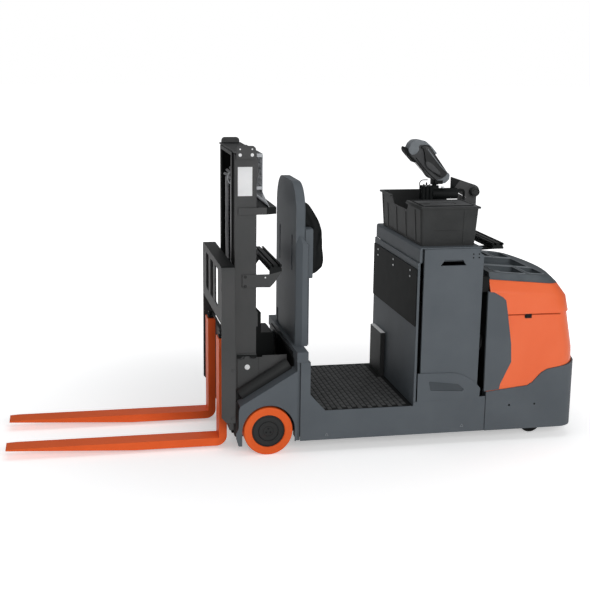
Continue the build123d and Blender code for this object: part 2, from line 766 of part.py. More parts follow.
# Carriage: two bars for the fork hooks, with roller arms that reach into the mast
bar_front_x = fork_face_x + fork_thickness
bar_rear_x = bar_front_x + carriage_bar_depth
arm_reach_x = inner_centre_x + 34
carriage_roller_z = (176.0, 440.0)
carriage_roller_r = 48.0
bar_half = rest_half_width - rest_side_plate
with BuildPart() as carriage:
    for bar_z in (carriage_low_z, carriage_high_z):
        with BuildSketch(Plane.XY.offset(bar_z)):
            with Locations(((bar_front_x + bar_rear_x) / 2, 0)):
                Rectangle(carriage_bar_depth, 2 * bar_half)
        extrude(amount=carriage_bar_height)
    for sign in (-1, 1):
        with BuildSketch(Plane.XY.offset(carriage_low_z)):
            with Locations(((bar_rear_x + arm_reach_x) / 2, sign * arm_y)):
                Rectangle(arm_reach_x - bar_rear_x, arm_plate)
            with Locations(((bar_front_x + bar_rear_x) / 2, sign * arm_y)):
                Rectangle(carriage_bar_depth, 4 * arm_plate)
        extrude(amount=carriage_roller_z[1] + 40 - carriage_low_z)
        with BuildSketch(Plane.XY.offset(carriage_low_z)):
            with Locations(((bar_front_x + bar_rear_x) / 2, sign * arm_y)):
                Rectangle(carriage_bar_depth, 4 * arm_plate)
        extrude(amount=carriage_high_z - carriage_low_z)
        roller_in_y = arm_y + arm_plate / 2 + joint_gap
        roller_out_y = inner_outer_y - inner_web - joint_gap
        for roller_z in carriage_roller_z:
            with BuildSketch(Plane.XZ.offset(-sign * roller_in_y)):
                with Locations((inner_centre_x, roller_z)):
                    Circle(carriage_roller_r)
            extrude(amount=-sign * (roller_out_y - roller_in_y))
            with BuildSketch(Plane.XZ.offset(-sign * arm_y)):
                with Locations((inner_centre_x, roller_z)):
                    Circle(pin_r)
            extrude(amount=-sign * (roller_in_y - arm_y + 4))
        # Chain anchor
        with BuildSketch(Plane.XY.offset(chain_low_z - 40)):
            with Locations(((bar_rear_x + chain_x + 3) / 2, sign * chain_y)):
                Rectangle(chain_x + 3 - bar_rear_x, chain_width + 6)
        extrude(amount=40)
    # Bridge plate that carries both chain anchors
    with BuildSketch(Plane.XY.offset(chain_low_z - 70)):
        with Locations(((bar_front_x + bar_rear_x) / 2, 0)):
            Rectangle(carriage_bar_depth, 2 * arm_y)
    extrude(amount=70)
carriage.part.label = "carriage_frame"
export_step(carriage.part, "parts/carriage_frame.step")

# Load back rest: windowed panel inside a deep hood bent from one plate
window_width = 130.0
rest_bend_z = rest_top_z - rest_corner_r
with BuildPart() as load_rest:
    with BuildSketch(Plane.YZ.offset(fork_face_x)):
        with Locations((0, (rest_bottom_z + rest_top_z) / 2)):
            Rectangle(2 * rest_half_width, rest_top_z - rest_bottom_z)
        fillet(vertices().group_by(Axis.Y)[-1], rest_corner_r)
        with Locations((0, (rest_window_low_z + rest_window_high_z) / 2)):
            with GridLocations(215, 1, 3, 1):
                RectangleRounded(window_width, rest_window_high_z - rest_window_low_z, 14,
                                 mode=Mode.SUBTRACT)
    extrude(amount=rest_panel)
    # Top of the hood with its rounded corners
    with BuildSketch(Plane.YZ.offset(fork_face_x)):
        RectangleRounded(2 * rest_half_width, 2 * rest_top_z, rest_corner_r)
        RectangleRounded(2 * (rest_half_width - rest_side_plate),
                         2 * (rest_top_z - rest_panel), rest_corner_r - rest_side_plate,
                         mode=Mode.SUBTRACT)
        with Locations((0, rest_bend_z - rest_top_z)):
            Rectangle(2 * rest_half_width, 2 * rest_top_z, mode=Mode.SUBTRACT)
    extrude(amount=rest_depth)
    for sign in (-1, 1):
        with BuildSketch(Plane.XZ.offset(-sign * rest_half_width)):
            with BuildLine():
                Polyline(
                    (fork_face_x, rest_bend_z), (fork_face_x + rest_depth, rest_bend_z),
                    (fork_face_x + rest_depth, 660), (fork_face_x + rest_depth + 4, 640),
                    (fork_face_x + rest_depth + 4, rest_side_bottom_z),
                    (fork_face_x + 30, rest_side_bottom_z),
                    (fork_face_x, rest_side_bottom_z + 34), close=True)
            make_face()
        extrude(amount=sign * rest_side_plate)
load_rest.part.label = "load_back_rest"
export_step(load_rest.part, "parts/load_back_rest.step")

# Forks: bent bars with tapered blades and rounded tips
for side, sign in (("near", -1), ("far", 1)):
    fork_y = sign * (fork_inner_y + fork_width / 2)
    with BuildPart() as fork:
        with BuildSketch(Plane.XZ.offset(-(fork_y + fork_width / 2))):
            with BuildLine():
                heel = bar_front_x
                Polyline((fork_face_x, fork_top_z), (heel, fork_top_z),
                         (heel, blade_bottom_z + fork_heel_r))
                RadiusArc((heel, blade_bottom_z + fork_heel_r),
                          (heel - fork_heel_r, blade_bottom_z), fork_heel_r)
                Polyline((heel - fork_heel_r, blade_bottom_z),
                         (blade_flat_to_x, blade_bottom_z),
                         (fork_tip_x, tip_bottom_z), (fork_tip_x, tip_top_z),
                         (taper_start_x, blade_top_z), (fork_face_x, blade_top_z),
                         (fork_face_x, fork_top_z))
            make_face()
        extrude(amount=fork_width)
        with BuildSketch(Plane.XY) as tip_plan:
            with Locations((0, fork_y)):
                with BuildLine():
                    Polyline((fork_tip_x - 10, -fork_width), (fork_tip_x - 10, -tip_half_width),
                             (fork_tip_x, -tip_half_width),
                             (taper_start_x, -fork_width / 2),
                             (taper_start_x, -fork_width), close=True)
                make_face()
                with BuildLine():
                    Polyline((fork_tip_x - 10, fork_width), (fork_tip_x - 10, tip_half_width),
                             (fork_tip_x, tip_half_width),
                             (taper_start_x, fork_width / 2),
                             (taper_start_x, fork_width), close=True)
                make_face()
        extrude(amount=200, mode=Mode.SUBTRACT)
    fork.part.label = f"fork_{side}"
    export_step(fork.part, f"parts/fork_{side}.step")

# Load wheels, hubs and their stub axles on the leg plates
hub_bore_depth = 52.0
for side, sign in (("near", -1), ("far", 1)):
    centre = Plane(origin=(load_wheel_x, sign * wheel_outer_y, load_wheel_r),
                   x_dir=(0, -sign, 0), z_dir=(1, 0, 0))
    with BuildPart() as tyre:
        with BuildSketch(centre):
            with BuildLine():
                Polyline((6, load_hub_r), (0, load_hub_r + 4), (0, load_wheel_r - 5),
                         (5, load_wheel_r), (load_wheel_width - 5, load_wheel_r),
                         (load_wheel_width, load_wheel_r - 5),
                         (load_wheel_width, load_hub_r), close=True)
            make_face()
        revolve(axis=Axis((load_wheel_x, 0, load_wheel_r), (0, 1, 0)))
    tyre.part.label = f"load_tyre_{side}"
    export_step(tyre.part, f"parts/load_tyre_{side}.step")
    with BuildPart() as hub:
        with BuildSketch(centre):
            with BuildLine():
                Polyline((4, 0), (4, load_groove_r - 3), (9, load_groove_r - 1),
                         (9, load_groove_r + 1), (4, load_groove_r + 3),
                         (4, load_hub_r - 6), (8, load_hub_r),
                         (load_wheel_width - 4, load_hub_r),
                         (load_wheel_width - 4, axle_r + 0.5),
                         (load_wheel_width - hub_bore_depth, axle_r + 0.5),
                         (load_wheel_width - hub_bore_depth, 0), close=True)
            make_face()
        revolve(axis=Axis((load_wheel_x, 0, load_wheel_r), (0, 1, 0)))
    hub.part.label = f"load_hub_{side}"
    export_step(hub.part, f"parts/load_hub_{side}.step")

# Fenders: side plate with the wheel arch, under a sloping top plate
for side, sign in (("near", 1), ("far", -1)):
    with BuildPart() as fender:
        with BuildSketch(near_side(side_outer_y)):
            plate_outline(xz([
                (fender_front_x, 172), (fender_front_x, 280),
                (fender_front_x + 9, fender_low_z), (fender_rear_x, fender_high_z),
                (fender_rear_x, ground_clearance + 10),
                (fender_rear_x - 12, ground_clearance),
                (fender_front_x + 20, ground_clearance - 13),
                (fender_front_x - 2, ground_clearance - 12),
                (fender_front_x - 16, 110), (fender_front_x - 16, 140),
            ]))
            with Locations((arch_x, -load_wheel_r)):
                Circle(arch_r, mode=Mode.SUBTRACT)
            with Locations((arch_x, 0)):
                Rectangle(2 * arch_r, 2 * load_wheel_r, mode=Mode.SUBTRACT)
        extrude(amount=fender_plate)
        with BuildSketch(near_side(side_inner_y)):
            plate_outline(xz([
                (fender_front_x + 9, fender_low_z), (fender_rear_x, fender_high_z),
                (fender_rear_x, fender_high_z - 10),
                (fender_front_x + 9, fender_low_z - 10),
            ]))
        extrude(amount=side_inner_y - leg_outer_y)
        if sign < 0:
            mirror(about=Plane.XZ, mode=Mode.REPLACE)
    fender.part.label = f"fender_{side}"
    export_step(fender.part, f"parts/fender_{side}.step")

# Plates at the foot of the mast, slotted at the top, with a seam behind the mast
base_top_z = 578.0
base_rear_top_z = 563.0
base_low_z = 292.0
base_plate = 8.0
base_front_x = mast_front_x + 14.0
base_seam_x = -269.0
base_rear_x = -100.0
base_slot_low_z = 545.0
base_slot_high_z = 570.0
base_slot_length = 104.0
base_boss_r = 19.0
for side, sign in (("near", -1), ("far", 1)):
    with BuildPart() as mast_base:
        slot_x = base_front_x + 6 + base_slot_length / 2
        with BuildSketch(Plane.XZ.offset(-sign * mast_half_width)):
            with BuildLine():
                Polyline((base_front_x, base_low_z), (base_rear_x, base_low_z),
                         (base_rear_x, base_rear_top_z), (base_seam_x + 22, base_rear_top_z),
                         (base_seam_x + 22, base_rear_top_z - 9),
                         (rail_rear_x, base_rear_top_z - 9), (rail_rear_x, base_top_z),
                         (base_front_x, base_top_z), close=True)
            make_face()
            with Locations((slot_x, (base_slot_low_z + base_slot_high_z) / 2)):
                Rectangle(base_slot_length, base_slot_high_z - base_slot_low_z,
                          mode=Mode.SUBTRACT)
            with Locations((slot_x, base_slot_low_z)):
                Circle(base_boss_r)
        extrude(amount=-sign * base_plate)
        # Seam between the mast's own plate and the rear one
        with BuildSketch(Plane.XZ.offset(-sign * (mast_half_width + base_plate))):
            with Locations((base_seam_x, (base_low_z + base_rear_top_z) / 2)):
                Rectangle(3, base_rear_top_z - base_low_z)
        extrude(amount=sign * 3, mode=Mode.SUBTRACT)
        # Leg plate with the wheel's stub axle
        with BuildSketch(Plane.XZ.offset(-sign * leg_outer_y)):
            with BuildLine():
                Polyline((fender_front_x + 2, 96), (frame_front_x, 96),
                         (frame_front_x, 508), (fender_rear_x, 496),
                         (fender_front_x + 2, 292), close=True)
            make_face()
        extrude(amount=sign * leg_plate)
        with BuildSketch(Plane.XZ.offset(-sign * leg_inner_y)):
            with Locations((load_wheel_x, load_wheel_r)):
                Circle(axle_r)
        extrude(amount=-sign * (wheel_inner_y + hub_bore_depth - 4 - leg_inner_y))
        # Ledge that ties the leg to the mast rail
        with BuildSketch(Plane.XY.offset(280)):
            with Locations(((mast_front_x + frame_front_x) / 2,
                            sign * (mast_half_width + leg_inner_y) / 2)):
                Rectangle(frame_front_x - mast_front_x, leg_inner_y - mast_half_width)
        extrude(amount=12)
    mast_base.part.label = f"mast_base_{side}"
    export_step(mast_base.part, f"parts/mast_base_{side}.step")

# Front floor plate between the legs, and the cover of the hydraulic pump on it
with BuildPart() as front_floor:
    with BuildSketch(Plane.XY.offset(96)):
        with Locations(((rail_rear_x + tie_plate + frame_front_x) / 2, 0)):
            Rectangle(frame_front_x - rail_rear_x - tie_plate, 2 * leg_inner_y)
    extrude(amount=10)
pump_near_y = 30.0
pump_far_y = mast_half_width - 91.0
pump_front_x = -268.0
pump_rear_x = -125.0
pump_top_z = 630.0
pump_shield = 6.0
with BuildPart() as pump_cover:
    add(front_floor.part)
    with BuildSketch(near_side(pump_near_y)):
        plate_outline(xz([
            (pump_front_x, 106), (pump_front_x, pump_top_z),
            (pump_rear_x - 14, pump_top_z), (pump_rear_x, pump_top_z - 14),
            (pump_rear_x, 106),
        ]))
    extrude(amount=pump_near_y + pump_far_y)
    # Hose shield that stands up behind the mast
    with BuildSketch(near_side(pump_near_y)):
        plate_outline(xz([
            (pump_front_x, pump_top_z), (pump_front_x, 797), (pump_front_x + 24, 797),
            (pump_front_x + 60, 758), (pump_front_x + 60, pump_top_z),
        ]))
    extrude(amount=pump_shield)
pump_cover.part.label = "pump_cover"
export_step(pump_cover.part, "parts/pump_cover.step")

# Console: front wall with side returns and rear wall, open at both sides
console_inner_y = half_width - 6.0
with BuildPart() as console:
    with BuildSketch(Plane.XY.offset(deck_top_z)):
        with Locations((console_front_x + console_wall / 2, 0)):
            Rectangle(console_wall, 2 * side_inner_y)
        with Locations((console_rear_x - console_wall / 2, 0)):
            Rectangle(console_wall, 2 * console_inner_y - 60)
    extrude(amount=cap_seam_z - deck_top_z)
    with BuildSketch(Plane.XY.offset(sill_front_z + 2)):
        with Locations((console_front_x + console_wall / 2, 0)):
            Rectangle(console_wall, 2 * console_inner_y)
        for sign in (-1, 1):
            with Locations((console_front_x + return_width / 2,
                            sign * (console_inner_y - console_wall / 2))):
                Rectangle(return_width, console_wall)
    extrude(amount=cap_seam_z - sill_front_z - 2)
    with BuildSketch(Plane.XY.offset(deck_top_z - mat_thickness)):
        with Locations((console_rear_x - console_wall / 2, 0)):
            Rectangle(console_wall, 2 * console_inner_y - 60)
    extrude(amount=mat_thickness)
cap_front_x = console_front_x + console_cap_setback
with BuildPart() as console_cap:
    with BuildSketch(Plane.XZ.offset(-console_inner_y)):
        with Locations(((cap_front_x + console_rear_x) / 2,
                        (cap_seam_z + console_top_z) / 2)):
            Rectangle(console_rear_x - cap_front_x, console_top_z - cap_seam_z)
        fillet(vertices().group_by(Axis.Y)[-1], console_cap_r)
    extrude(amount=2 * console_inner_y)
    # Room for the doors below the cap's edge
    for sign in (-1, 1):
        with BuildSketch(Plane.XY.offset(cap_seam_z)):
            with Locations(((cap_front_x + return_width + door_rear_x) / 2 + 8,
                            sign * (console_inner_y - 15))):
                Rectangle(door_rear_x - cap_front_x - return_width + 16, 34)
        extrude(amount=door_top_z + seam - cap_seam_z, mode=Mode.SUBTRACT)
    add(console.part)
console_cap.part.label = "console_body"
export_step(console_cap.part, "parts/console_body.step")

# Battery block between the side doors
with BuildPart() as battery:
    with BuildSketch(Plane.XY.offset(deck_top_z - mat_thickness)):
        with Locations(((console_front_x + console_rear_x) / 2, 0)):
            Rectangle(battery_length, battery_width)
    extrude(amount=battery_height)
battery.part.label = "battery"
export_step(battery.part, "parts/battery.step")


def cover_base_z(x):
    """Height of the side frame's top edge under the step cover."""
    share = (x - console_front_x) / (unit_front_x - seam - console_front_x)
    return sill_front_z + share * (sill_rear_z - sill_front_z)


# Side doors with a hand slot, and the moulded covers at their feet
for side, sign in (("near", 1), ("far", -1)):
    with BuildPart() as side_door:
        with BuildSketch(near_side(side_outer_y - 2)):
            with BuildLine():
                Polyline((door_front_x, -door_top_z), (door_rear_x - 28, -door_top_z))
                RadiusArc((door_rear_x - 28, -door_top_z), (door_rear_x, -door_top_z + 40), 34)
                Polyline((door_rear_x, -door_top_z + 40), (door_rear_x - 6, -300),
                         (door_front_x, -300), (door_front_x, -door_top_z))
            make_face()
            plate_outline(xz([(811, 1141), (922, 1141), (945, 1107), (785, 1107)]),
                          mode=Mode.SUBTRACT)
        extrude(amount=door_thickness)
        if sign < 0:
            mirror(about=Plane.XZ, mode=Mode.REPLACE)
    side_door.part.label = f"side_door_{side}"
    export_step(side_door.part, f"parts/side_door_{side}.step")
    with BuildPart() as step_cover:
        with BuildSketch(near_side(half_width)):
            with BuildLine():
                Polyline((668, -cover_base_z(668)), (668, -455), (881, -451))
                ThreePointArc((881, -451), (971, -424), (1066, -345))
                Polyline((1066, -345), (1062, -cover_base_z(1062)),
                         (668, -cover_base_z(668)))
            make_face()
        extrude(amount=half_width - side_outer_y + 2)
        with BuildSketch(near_side(half_width)):
            plate_outline(xz([(736, 405), (923, 380), (962, 346), (950, 334), (750, 346)]))
            fillet(vertices(), 7)
        extrude(amount=cover_recess, mode=Mode.SUBTRACT)
        if sign < 0:
            mirror(about=Plane.XZ, mode=Mode.REPLACE)
    step_cover.part.label = f"step_cover_{side}"
    export_step(step_cover.part, f"parts/step_cover_{side}.step")

# Board and small post box on the console's front wall
with BuildPart() as wall_board:
    with BuildSketch(Plane.YZ.offset(console_front_x)):
        with Locations((0, (board_low_z + board_high_z) / 2)):
            RectangleRounded(2 * board_half_width, board_high_z - board_low_z, 8)
    extrude(amount=-board_thickness)
wall_board.part.label = "wall_board"
export_step(wall_board.part, "parts/wall_board.step")

with BuildPart() as post_box:
    with BuildSketch(Plane.XY.offset(deck_top_z - mat_thickness)):
        with Locations((console_front_x - post_box_depth / 2,
                        post_box_y + post_box_width / 2)):
            RectangleRounded(post_box_depth, post_box_width, 4)
    extrude(amount=post_box_top_z + post_cap_height - deck_top_z + mat_thickness)
post_box.part.label = "post_box"
export_step(post_box.part, "parts/post_box.step")

# Panels pressed into the bin's outer walls, between its corner posts and ribs
bin_floor = console_top_z
bin_top = bin_floor + bin_height
with BuildPart() as bin_panels:
    for inset, mode in ((0, Mode.ADD), (bin_recess, Mode.SUBTRACT)):
        for z, narrowing in ((bin_floor, bin_draft), (bin_top, bin_rim)):
            with BuildSketch(Plane.XY.offset(z)):
                with Locations((bin_centre_x, 0)):
                    RectangleRounded(bin_length - 2 * narrowing - 2 * inset,
                                     bin_width - 2 * narrowing - 2 * inset, 18)
        loft(mode=mode)
    with BuildPart(mode=Mode.PRIVATE) as windows:
        # Ends: a tall panel above a low band
        for low_z, high_z in ((bin_floor + bin_panel_low,
                               bin_floor + bin_band_height - bin_band_line),
                              (bin_floor + bin_band_height, bin_top - bin_panel_drop)):
            with Locations((bin_centre_x, 0, (low_z + high_z) / 2)):
                Box(2 * bin_panel_half, 2 * bin_width, high_z - low_z)
        # Long sides: a panel between each pair of ribs
        bin_panel_width = bin_rib_pitch - bin_rib_width
        bin_side_top = bin_top - bin_dip - bin_panel_drop / 2
        for rib_gap in (-1, 0, 1):
            with Locations((bin_centre_x, rib_gap * bin_rib_pitch,
                            (bin_floor + bin_panel_low + bin_side_top) / 2)):
                Box(2 * bin_length, bin_panel_width, bin_side_top - bin_floor - bin_panel_low)
        bin_edge_y = 1.5 * bin_rib_pitch + bin_rib_width / 2
        bin_edge_width = bin_width / 2 - bin_draft - bin_rib_width - bin_edge_y
        for sign in (-1, 1):
            with Locations((bin_centre_x, sign * (bin_edge_y + bin_edge_width / 2),
                            (bin_floor + bin_panel_low + bin_top - bin_panel_drop) / 2)):
                Box(2 * bin_length, bin_edge_width,
                    bin_height - bin_panel_low - bin_panel_drop)
    add(windows.part, mode=Mode.INTERSECT)

# Open bin with sloping walls, a rolled rim and a dip in both long sides
with BuildPart() as storage_bin:
    for inset, low, mode in ((0, 0, Mode.ADD), (bin_wall, bin_wall, Mode.SUBTRACT)):
        with BuildSketch(Plane.XY.offset(bin_floor + low)):
            with Locations((bin_centre_x, 0)):
                RectangleRounded(bin_length - 2 * bin_draft - 2 * inset,
                                 bin_width - 2 * bin_draft - 2 * inset, 18)
        with BuildSketch(Plane.XY.offset(bin_floor + bin_height)):
            with Locations((bin_centre_x, 0)):
                RectangleRounded(bin_length - 2 * bin_rim - 2 * inset,
                                 bin_width - 2 * bin_rim - 2 * inset, 18)
        loft(mode=mode)
    with BuildSketch(Plane.XY.offset(bin_floor + bin_height - bin_rim_height)):
        with Locations((bin_centre_x, 0)):
            RectangleRounded(bin_length, bin_width, 22)
            RectangleRounded(bin_length - 2 * bin_rim - 2 * bin_wall + 2,
                             bin_width - 2 * bin_rim - 2 * bin_wall + 2, 18,
                             mode=Mode.SUBTRACT)
    extrude(amount=bin_rim_height)
    with BuildSketch(Plane.YZ.offset(bin_centre_x - bin_length)):
        with BuildLine():
            Polyline((-bin_dip_half - bin_dip_run, bin_floor + bin_height + 1),
                     (-bin_dip_half, bin_floor + bin_height - bin_dip),
                     (bin_dip_half, bin_floor + bin_height - bin_dip),
                     (bin_dip_half + bin_dip_run, bin_floor + bin_height + 1), close=True)
        make_face()
        fillet(vertices().group_by(Axis.Y)[0], bin_dip_r)
    extrude(amount=2 * bin_length, mode=Mode.SUBTRACT)
    add(bin_panels.part, mode=Mode.SUBTRACT)
storage_bin.part.label = "storage_bin"
export_step(storage_bin.part, "parts/storage_bin.step")

# Lid over the bin's near end
lid_z = bin_floor + bin_height
with BuildPart() as bin_lid:
    with BuildSketch(Plane.XY.offset(lid_z)):
        with Locations((bin_centre_x, -bin_width / 2 + bin_rim + lid_length / 2)):
            RectangleRounded(bin_length - 2 * bin_rim, lid_length, 10)
    extrude(amount=lid_plate)
    # Raised field with a finger recess
    with BuildSketch(Plane.XY.offset(lid_z + lid_plate)):
        with Locations((bin_centre_x, -bin_width / 2 + bin_rim + lid_length / 2)):
            RectangleRounded(bin_length - 2 * bin_rim - 2 * lid_border,
                             lid_length - 2 * lid_border, 8)
            RectangleRounded(lid_recess_length, lid_recess_width, 12, mode=Mode.SUBTRACT)
    extrude(amount=lid_field)
bin_lid.part.label = "bin_lid"
export_step(bin_lid.part, "parts/bin_lid.step")

# Rear accessory rail behind the bin, with two arms on the console's rear wall
rear_rail_x = 1182.0
rear_rail_half = half_width - 123.0
rear_rail_z = 1216.0
with BuildPart() as rear_rail:
    accessory_rail(rear_rail_x, rear_rail_z, rear_rail_half, rail_width, rail_height)
    for arm_at in (112 - rear_rail_half, rear_rail_half - 112):
        with BuildSketch(Plane.XZ.offset(-(arm_at + 23))):
            with BuildLine():
                Polyline((console_rear_x, rear_rail_z - rail_height),
                         (rear_rail_x + 34, rear_rail_z - rail_height),
                         (rear_rail_x + 30, rear_rail_z - rail_height - 16),
                         (console_rear_x + 24, rear_rail_z - rail_height - 22),
                         (console_rear_x, rear_rail_z - rail_height - 46), close=True)
            make_face()
        extrude(amount=46)
rear_rail.part.label = "rear_rail"
export_step(rear_rail.part, "parts/rear_rail.step")

# Control arm over the bin: clamp, tube, hooked conduit and swivel plate with its knob
control_y = 100.0
arm_x, arm_z, arm_head_r = 1184.0, 1469.0, 41.0
arm_plate_y = control_y + 22.0
swivel_plate = 12.0
knob_r, knob_length = 28.0, 46.0
tube_x, tube_end_x, tube_z, tube_r = 899.0, 1064.0, 1461.0, 35.0
tube_y = control_y - 12.0
clamp_x = 825.0
clamp_low_z, clamp_top_z = tube_z - 34, tube_z + 51
clamp_finger_r = 13.0
stub_x, stub_r = 915.0, 14.0
head_low_z = clamp_top_z + 9
seat_gap = 0.3
conduit_r = 8.0
conduit_low_z = arm_z - 97
with BuildPart() as arm_post:
    with BuildSketch(Plane.XZ.offset(-arm_plate_y)):
        plate_outline([
            (arm_x - 151, arm_z + 20), (arm_x - 151, arm_z + 94), (arm_x + 14, arm_z + 40),
            (arm_x + 22, arm_z), (arm_x + 22, rear_rail_z), (arm_x - 32, rear_rail_z),
            (arm_x - 32, arm_z - 45),
        ])
        with Locations((arm_x, arm_z)):
            Circle(arm_head_r)
    extrude(amount=swivel_plate)
    with BuildSketch(Plane.XZ.offset(-(arm_plate_y - swivel_plate))):
        with Locations((arm_x, arm_z)):
            Circle(knob_r)
    extrude(amount=knob_length)
    fillet(arm_post.faces().sort_by(Axis.Y)[0].edges(), 6)
    with BuildSketch(Plane.YZ.offset(tube_x)):
        with Locations((tube_y, tube_z)):
            Circle(tube_r)
    extrude(amount=tube_end_x - tube_x)
    # Clamp: a row of round fingers round a core
    with BuildSketch(Plane.XY.offset(clamp_low_z)):
        with Locations(((clamp_x + clamp_finger_r + tube_x) / 2, tube_y)):
            Rectangle(tube_x - clamp_x - clamp_finger_r, 2 * tube_r - 2 * clamp_finger_r)
        for finger_y in (tube_y - tube_r + clamp_finger_r, tube_y + tube_r - clamp_finger_r):
            with Locations(((clamp_x + tube_x) / 2, finger_y)):
                with GridLocations((tube_x - clamp_x) / 2 - clamp_finger_r, 1, 3, 1):
                    Circle(clamp_finger_r)
    extrude(amount=clamp_top_z - clamp_low_z)
    # Neck under the control head
    with BuildSketch(Plane.XY.offset(tube_z)):
        with Locations((stub_x, tube_y)):
            RectangleRounded(54, 2 * stub_r + 8, 8)
    extrude(amount=clamp_top_z - tube_z)
    with BuildSketch(Plane.XY.offset(clamp_top_z)):
        with Locations((stub_x, tube_y)):
            Circle(stub_r)
    extrude(amount=head_low_z - seat_gap - clamp_top_z)
    # Hooked conduit from the tube's end down to the swivel plate
    with BuildLine(Plane.XZ.offset(-(tube_y - 16))) as conduit:
        FilletPolyline((tube_end_x - 8, tube_z + 2), (tube_end_x + 8, tube_z + 23),
                       (tube_end_x + 44, tube_z + 23), (tube_end_x + 44, conduit_low_z),
                       (arm_x - 24, conduit_low_z), radius=17)
    with BuildSketch(Plane(origin=conduit.line @ 0, z_dir=conduit.line % 0)):
        Circle(conduit_r)
    sweep()
    with BuildSketch(Plane.XZ.offset(-(tube_y - 16 - conduit_r))):
        with Locations((arm_x - 10, conduit_low_z)):
            Rectangle(30, 30)
    extrude(amount=-(arm_plate_y - swivel_plate - tube_y + 16 + conduit_r))
arm_post.part.label = "control_arm"
export_step(arm_post.part, "parts/control_arm.step")
with BuildPart() as control_head:
    with BuildSketch(Plane.XZ.offset(-(control_y + 45))):
        with BuildLine():
            Polyline(*[(stub_x + x, head_low_z + z) for x, z in (
                (-149, 179), (-176, 223), (-106, 280), (11, 197), (104, 55), (66, 0),
                (-23, 0))], close=True)
        make_face()
        fillet(vertices(), 20)
    extrude(amount=90)
    fillet(control_head.faces().filter_by(Axis.Y).edges(), 9)
control_head.part.label = "control_head"
export_step(control_head.part, "parts/control_head.step")

# Cable held between the head and the clamp, in one loop
cable_r = 2.75
cable_bend_r = 25.0
cable_top_z = 1548.0
cable_turn_x = 843.0
with BuildPart() as scanner_cable:
    with BuildLine(Plane.XZ.offset(-tube_y)) as loop_line:
        Line((870.5, cable_top_z), (cable_turn_x, cable_top_z))
        CenterArc((cable_turn_x, cable_top_z - cable_bend_r), cable_bend_r, 90, 134)
    with BuildSketch(Plane(origin=loop_line.line @ 0, z_dir=loop_line.line % 0)):
        Circle(cable_r)
    sweep()
scanner_cable.part.label = "scanner_cable"
export_step(scanner_cable.part, "parts/scanner_cable.step")

# Power unit. Every level of it is the same crowned outline, given by
# its height at the front, tilt, half width and rear end.


def unit_outline(half, rear, radius=unit_corner_r):
    """Crowned plan outline from the unit's front to its rounded rear."""
    angle = math.radians(crown_angle)
    y_end = half - radius * (1 - math.sin(angle))
    crown_r = y_end / math.sin(angle)
    arc_end = rear - crown_r * (1 - math.cos(angle))
    arc_x = arc_end - radius * math.cos(angle)
    mid = (math.pi / 2 + angle) / 2
    mid_x = arc_x + radius * math.cos(mid)
    mid_y = half - radius + radius * math.sin(mid)
    with BuildSketch(Plane.XY) as shape:
        with BuildLine():
            Line((0, half), (0, -half))
            Line((0, -half), (arc_x, -half))
            ThreePointArc((arc_x, -half), (mid_x, -mid_y), (arc_end, -y_end))
            ThreePointArc((arc_end, -y_end), (rear, 0), (arc_end, y_end))
            ThreePointArc((arc_end, y_end), (mid_x, mid_y), (arc_x, half))
            Line((arc_x, half), (0, half))
        make_face()
    add(shape.sketch)


def level(front_z, tilt=0.0):
    """Plane of a level that falls toward the rear by tilt degrees."""
    a = math.radians(tilt)
    return Plane(origin=(unit_front_x, 0, front_z), x_dir=(math.cos(a), 0, -math.sin(a)),
                 z_dir=(math.sin(a), 0, math.cos(a)))


unit_length = unit_rear_x - unit_front_x
skirt_edge = [
    (unit_front_x, 320), (1190, 330), (1369, 348), (1399, 365), (1458, 426),
    (1494, 446), (1606, 465), (unit_rear_x, 495),
]
with BuildPart() as skirt:
    with BuildSketch(level(ground_clearance)):
        unit_outline(half_width, unit_length)
    extrude(amount=430)
    with BuildSketch(level(ground_clearance)):
        unit_outline(half_width - skirt_wall, unit_length - skirt_wall,
                     unit_corner_r - skirt_wall)
    extrude(amount=430, mode=Mode.SUBTRACT)
    with BuildSketch(near_side(half_width + 1)):
        plate_outline(xz(skirt_edge + [(unit_rear_x + 5, 495), (unit_rear_x + 5, 600),
                                       (unit_front_x - 5, 600), (unit_front_x - 5, 320)]))
    extrude(amount=overall_width + 2, mode=Mode.SUBTRACT)
    # Front edge returns
    with BuildSketch(Plane.XY.offset(ground_clearance)):
        for sign in (-1, 1):
            with Locations((unit_front_x + skirt_wall / 2, sign * (half_width - 40))):
                Rectangle(skirt_wall, 80 - skirt_wall)
    extrude(amount=240)
skirt.part.label = "rear_skirt"
export_step(skirt.part, "parts/rear_skirt.step")

# Hood body between skirt and brow: (front z, tilt, half width, rear end)
hood_low_levels = (
    (316.0, 0.0, half_width - 6, unit_length - 5),
    (570.0, 0.0, half_width - 6, unit_length - 18),
    (brow_low_z, 0.0, half_width - 16, unit_length - 60),
)
with BuildPart() as hood:
    for wall, mode in ((0, Mode.ADD), (hood_wall, Mode.SUBTRACT)):
        for z, tilt, half, rear in hood_low_levels:
            with BuildSketch(level(z, tilt)):
                unit_outline(half - wall, rear - wall, unit_corner_r - wall)
        loft(ruled=True, mode=mode)
    with BuildSketch(near_side(half_width + 1)):
        plate_outline(xz(skirt_edge +
                         [(unit_rear_x + 5, 495), (unit_rear_x + 5, 300),
                          (unit_front_x - 5, 300), (unit_front_x - 5, 320)]))
    extrude(amount=overall_width + 2, mode=Mode.SUBTRACT)
brow_levels = (
    (brow_low_z, 0.0, half_width - 6, unit_length - 52),
    (941.0, hood_slope, half_width - 8, unit_length - 72),
    (1010.0, hood_slope, half_width - 42, unit_length - 126),
)
with BuildPart() as brow:
    for wall, mode in ((0, Mode.ADD), (hood_wall, Mode.SUBTRACT)):
        for z, tilt, half, rear in brow_levels:
            with BuildSketch(level(z, tilt)):
                unit_outline(half - wall, rear - wall, unit_corner_r - wall)
        loft(ruled=True, mode=mode)
    add(hood.part)
brow.part.label = "hood"
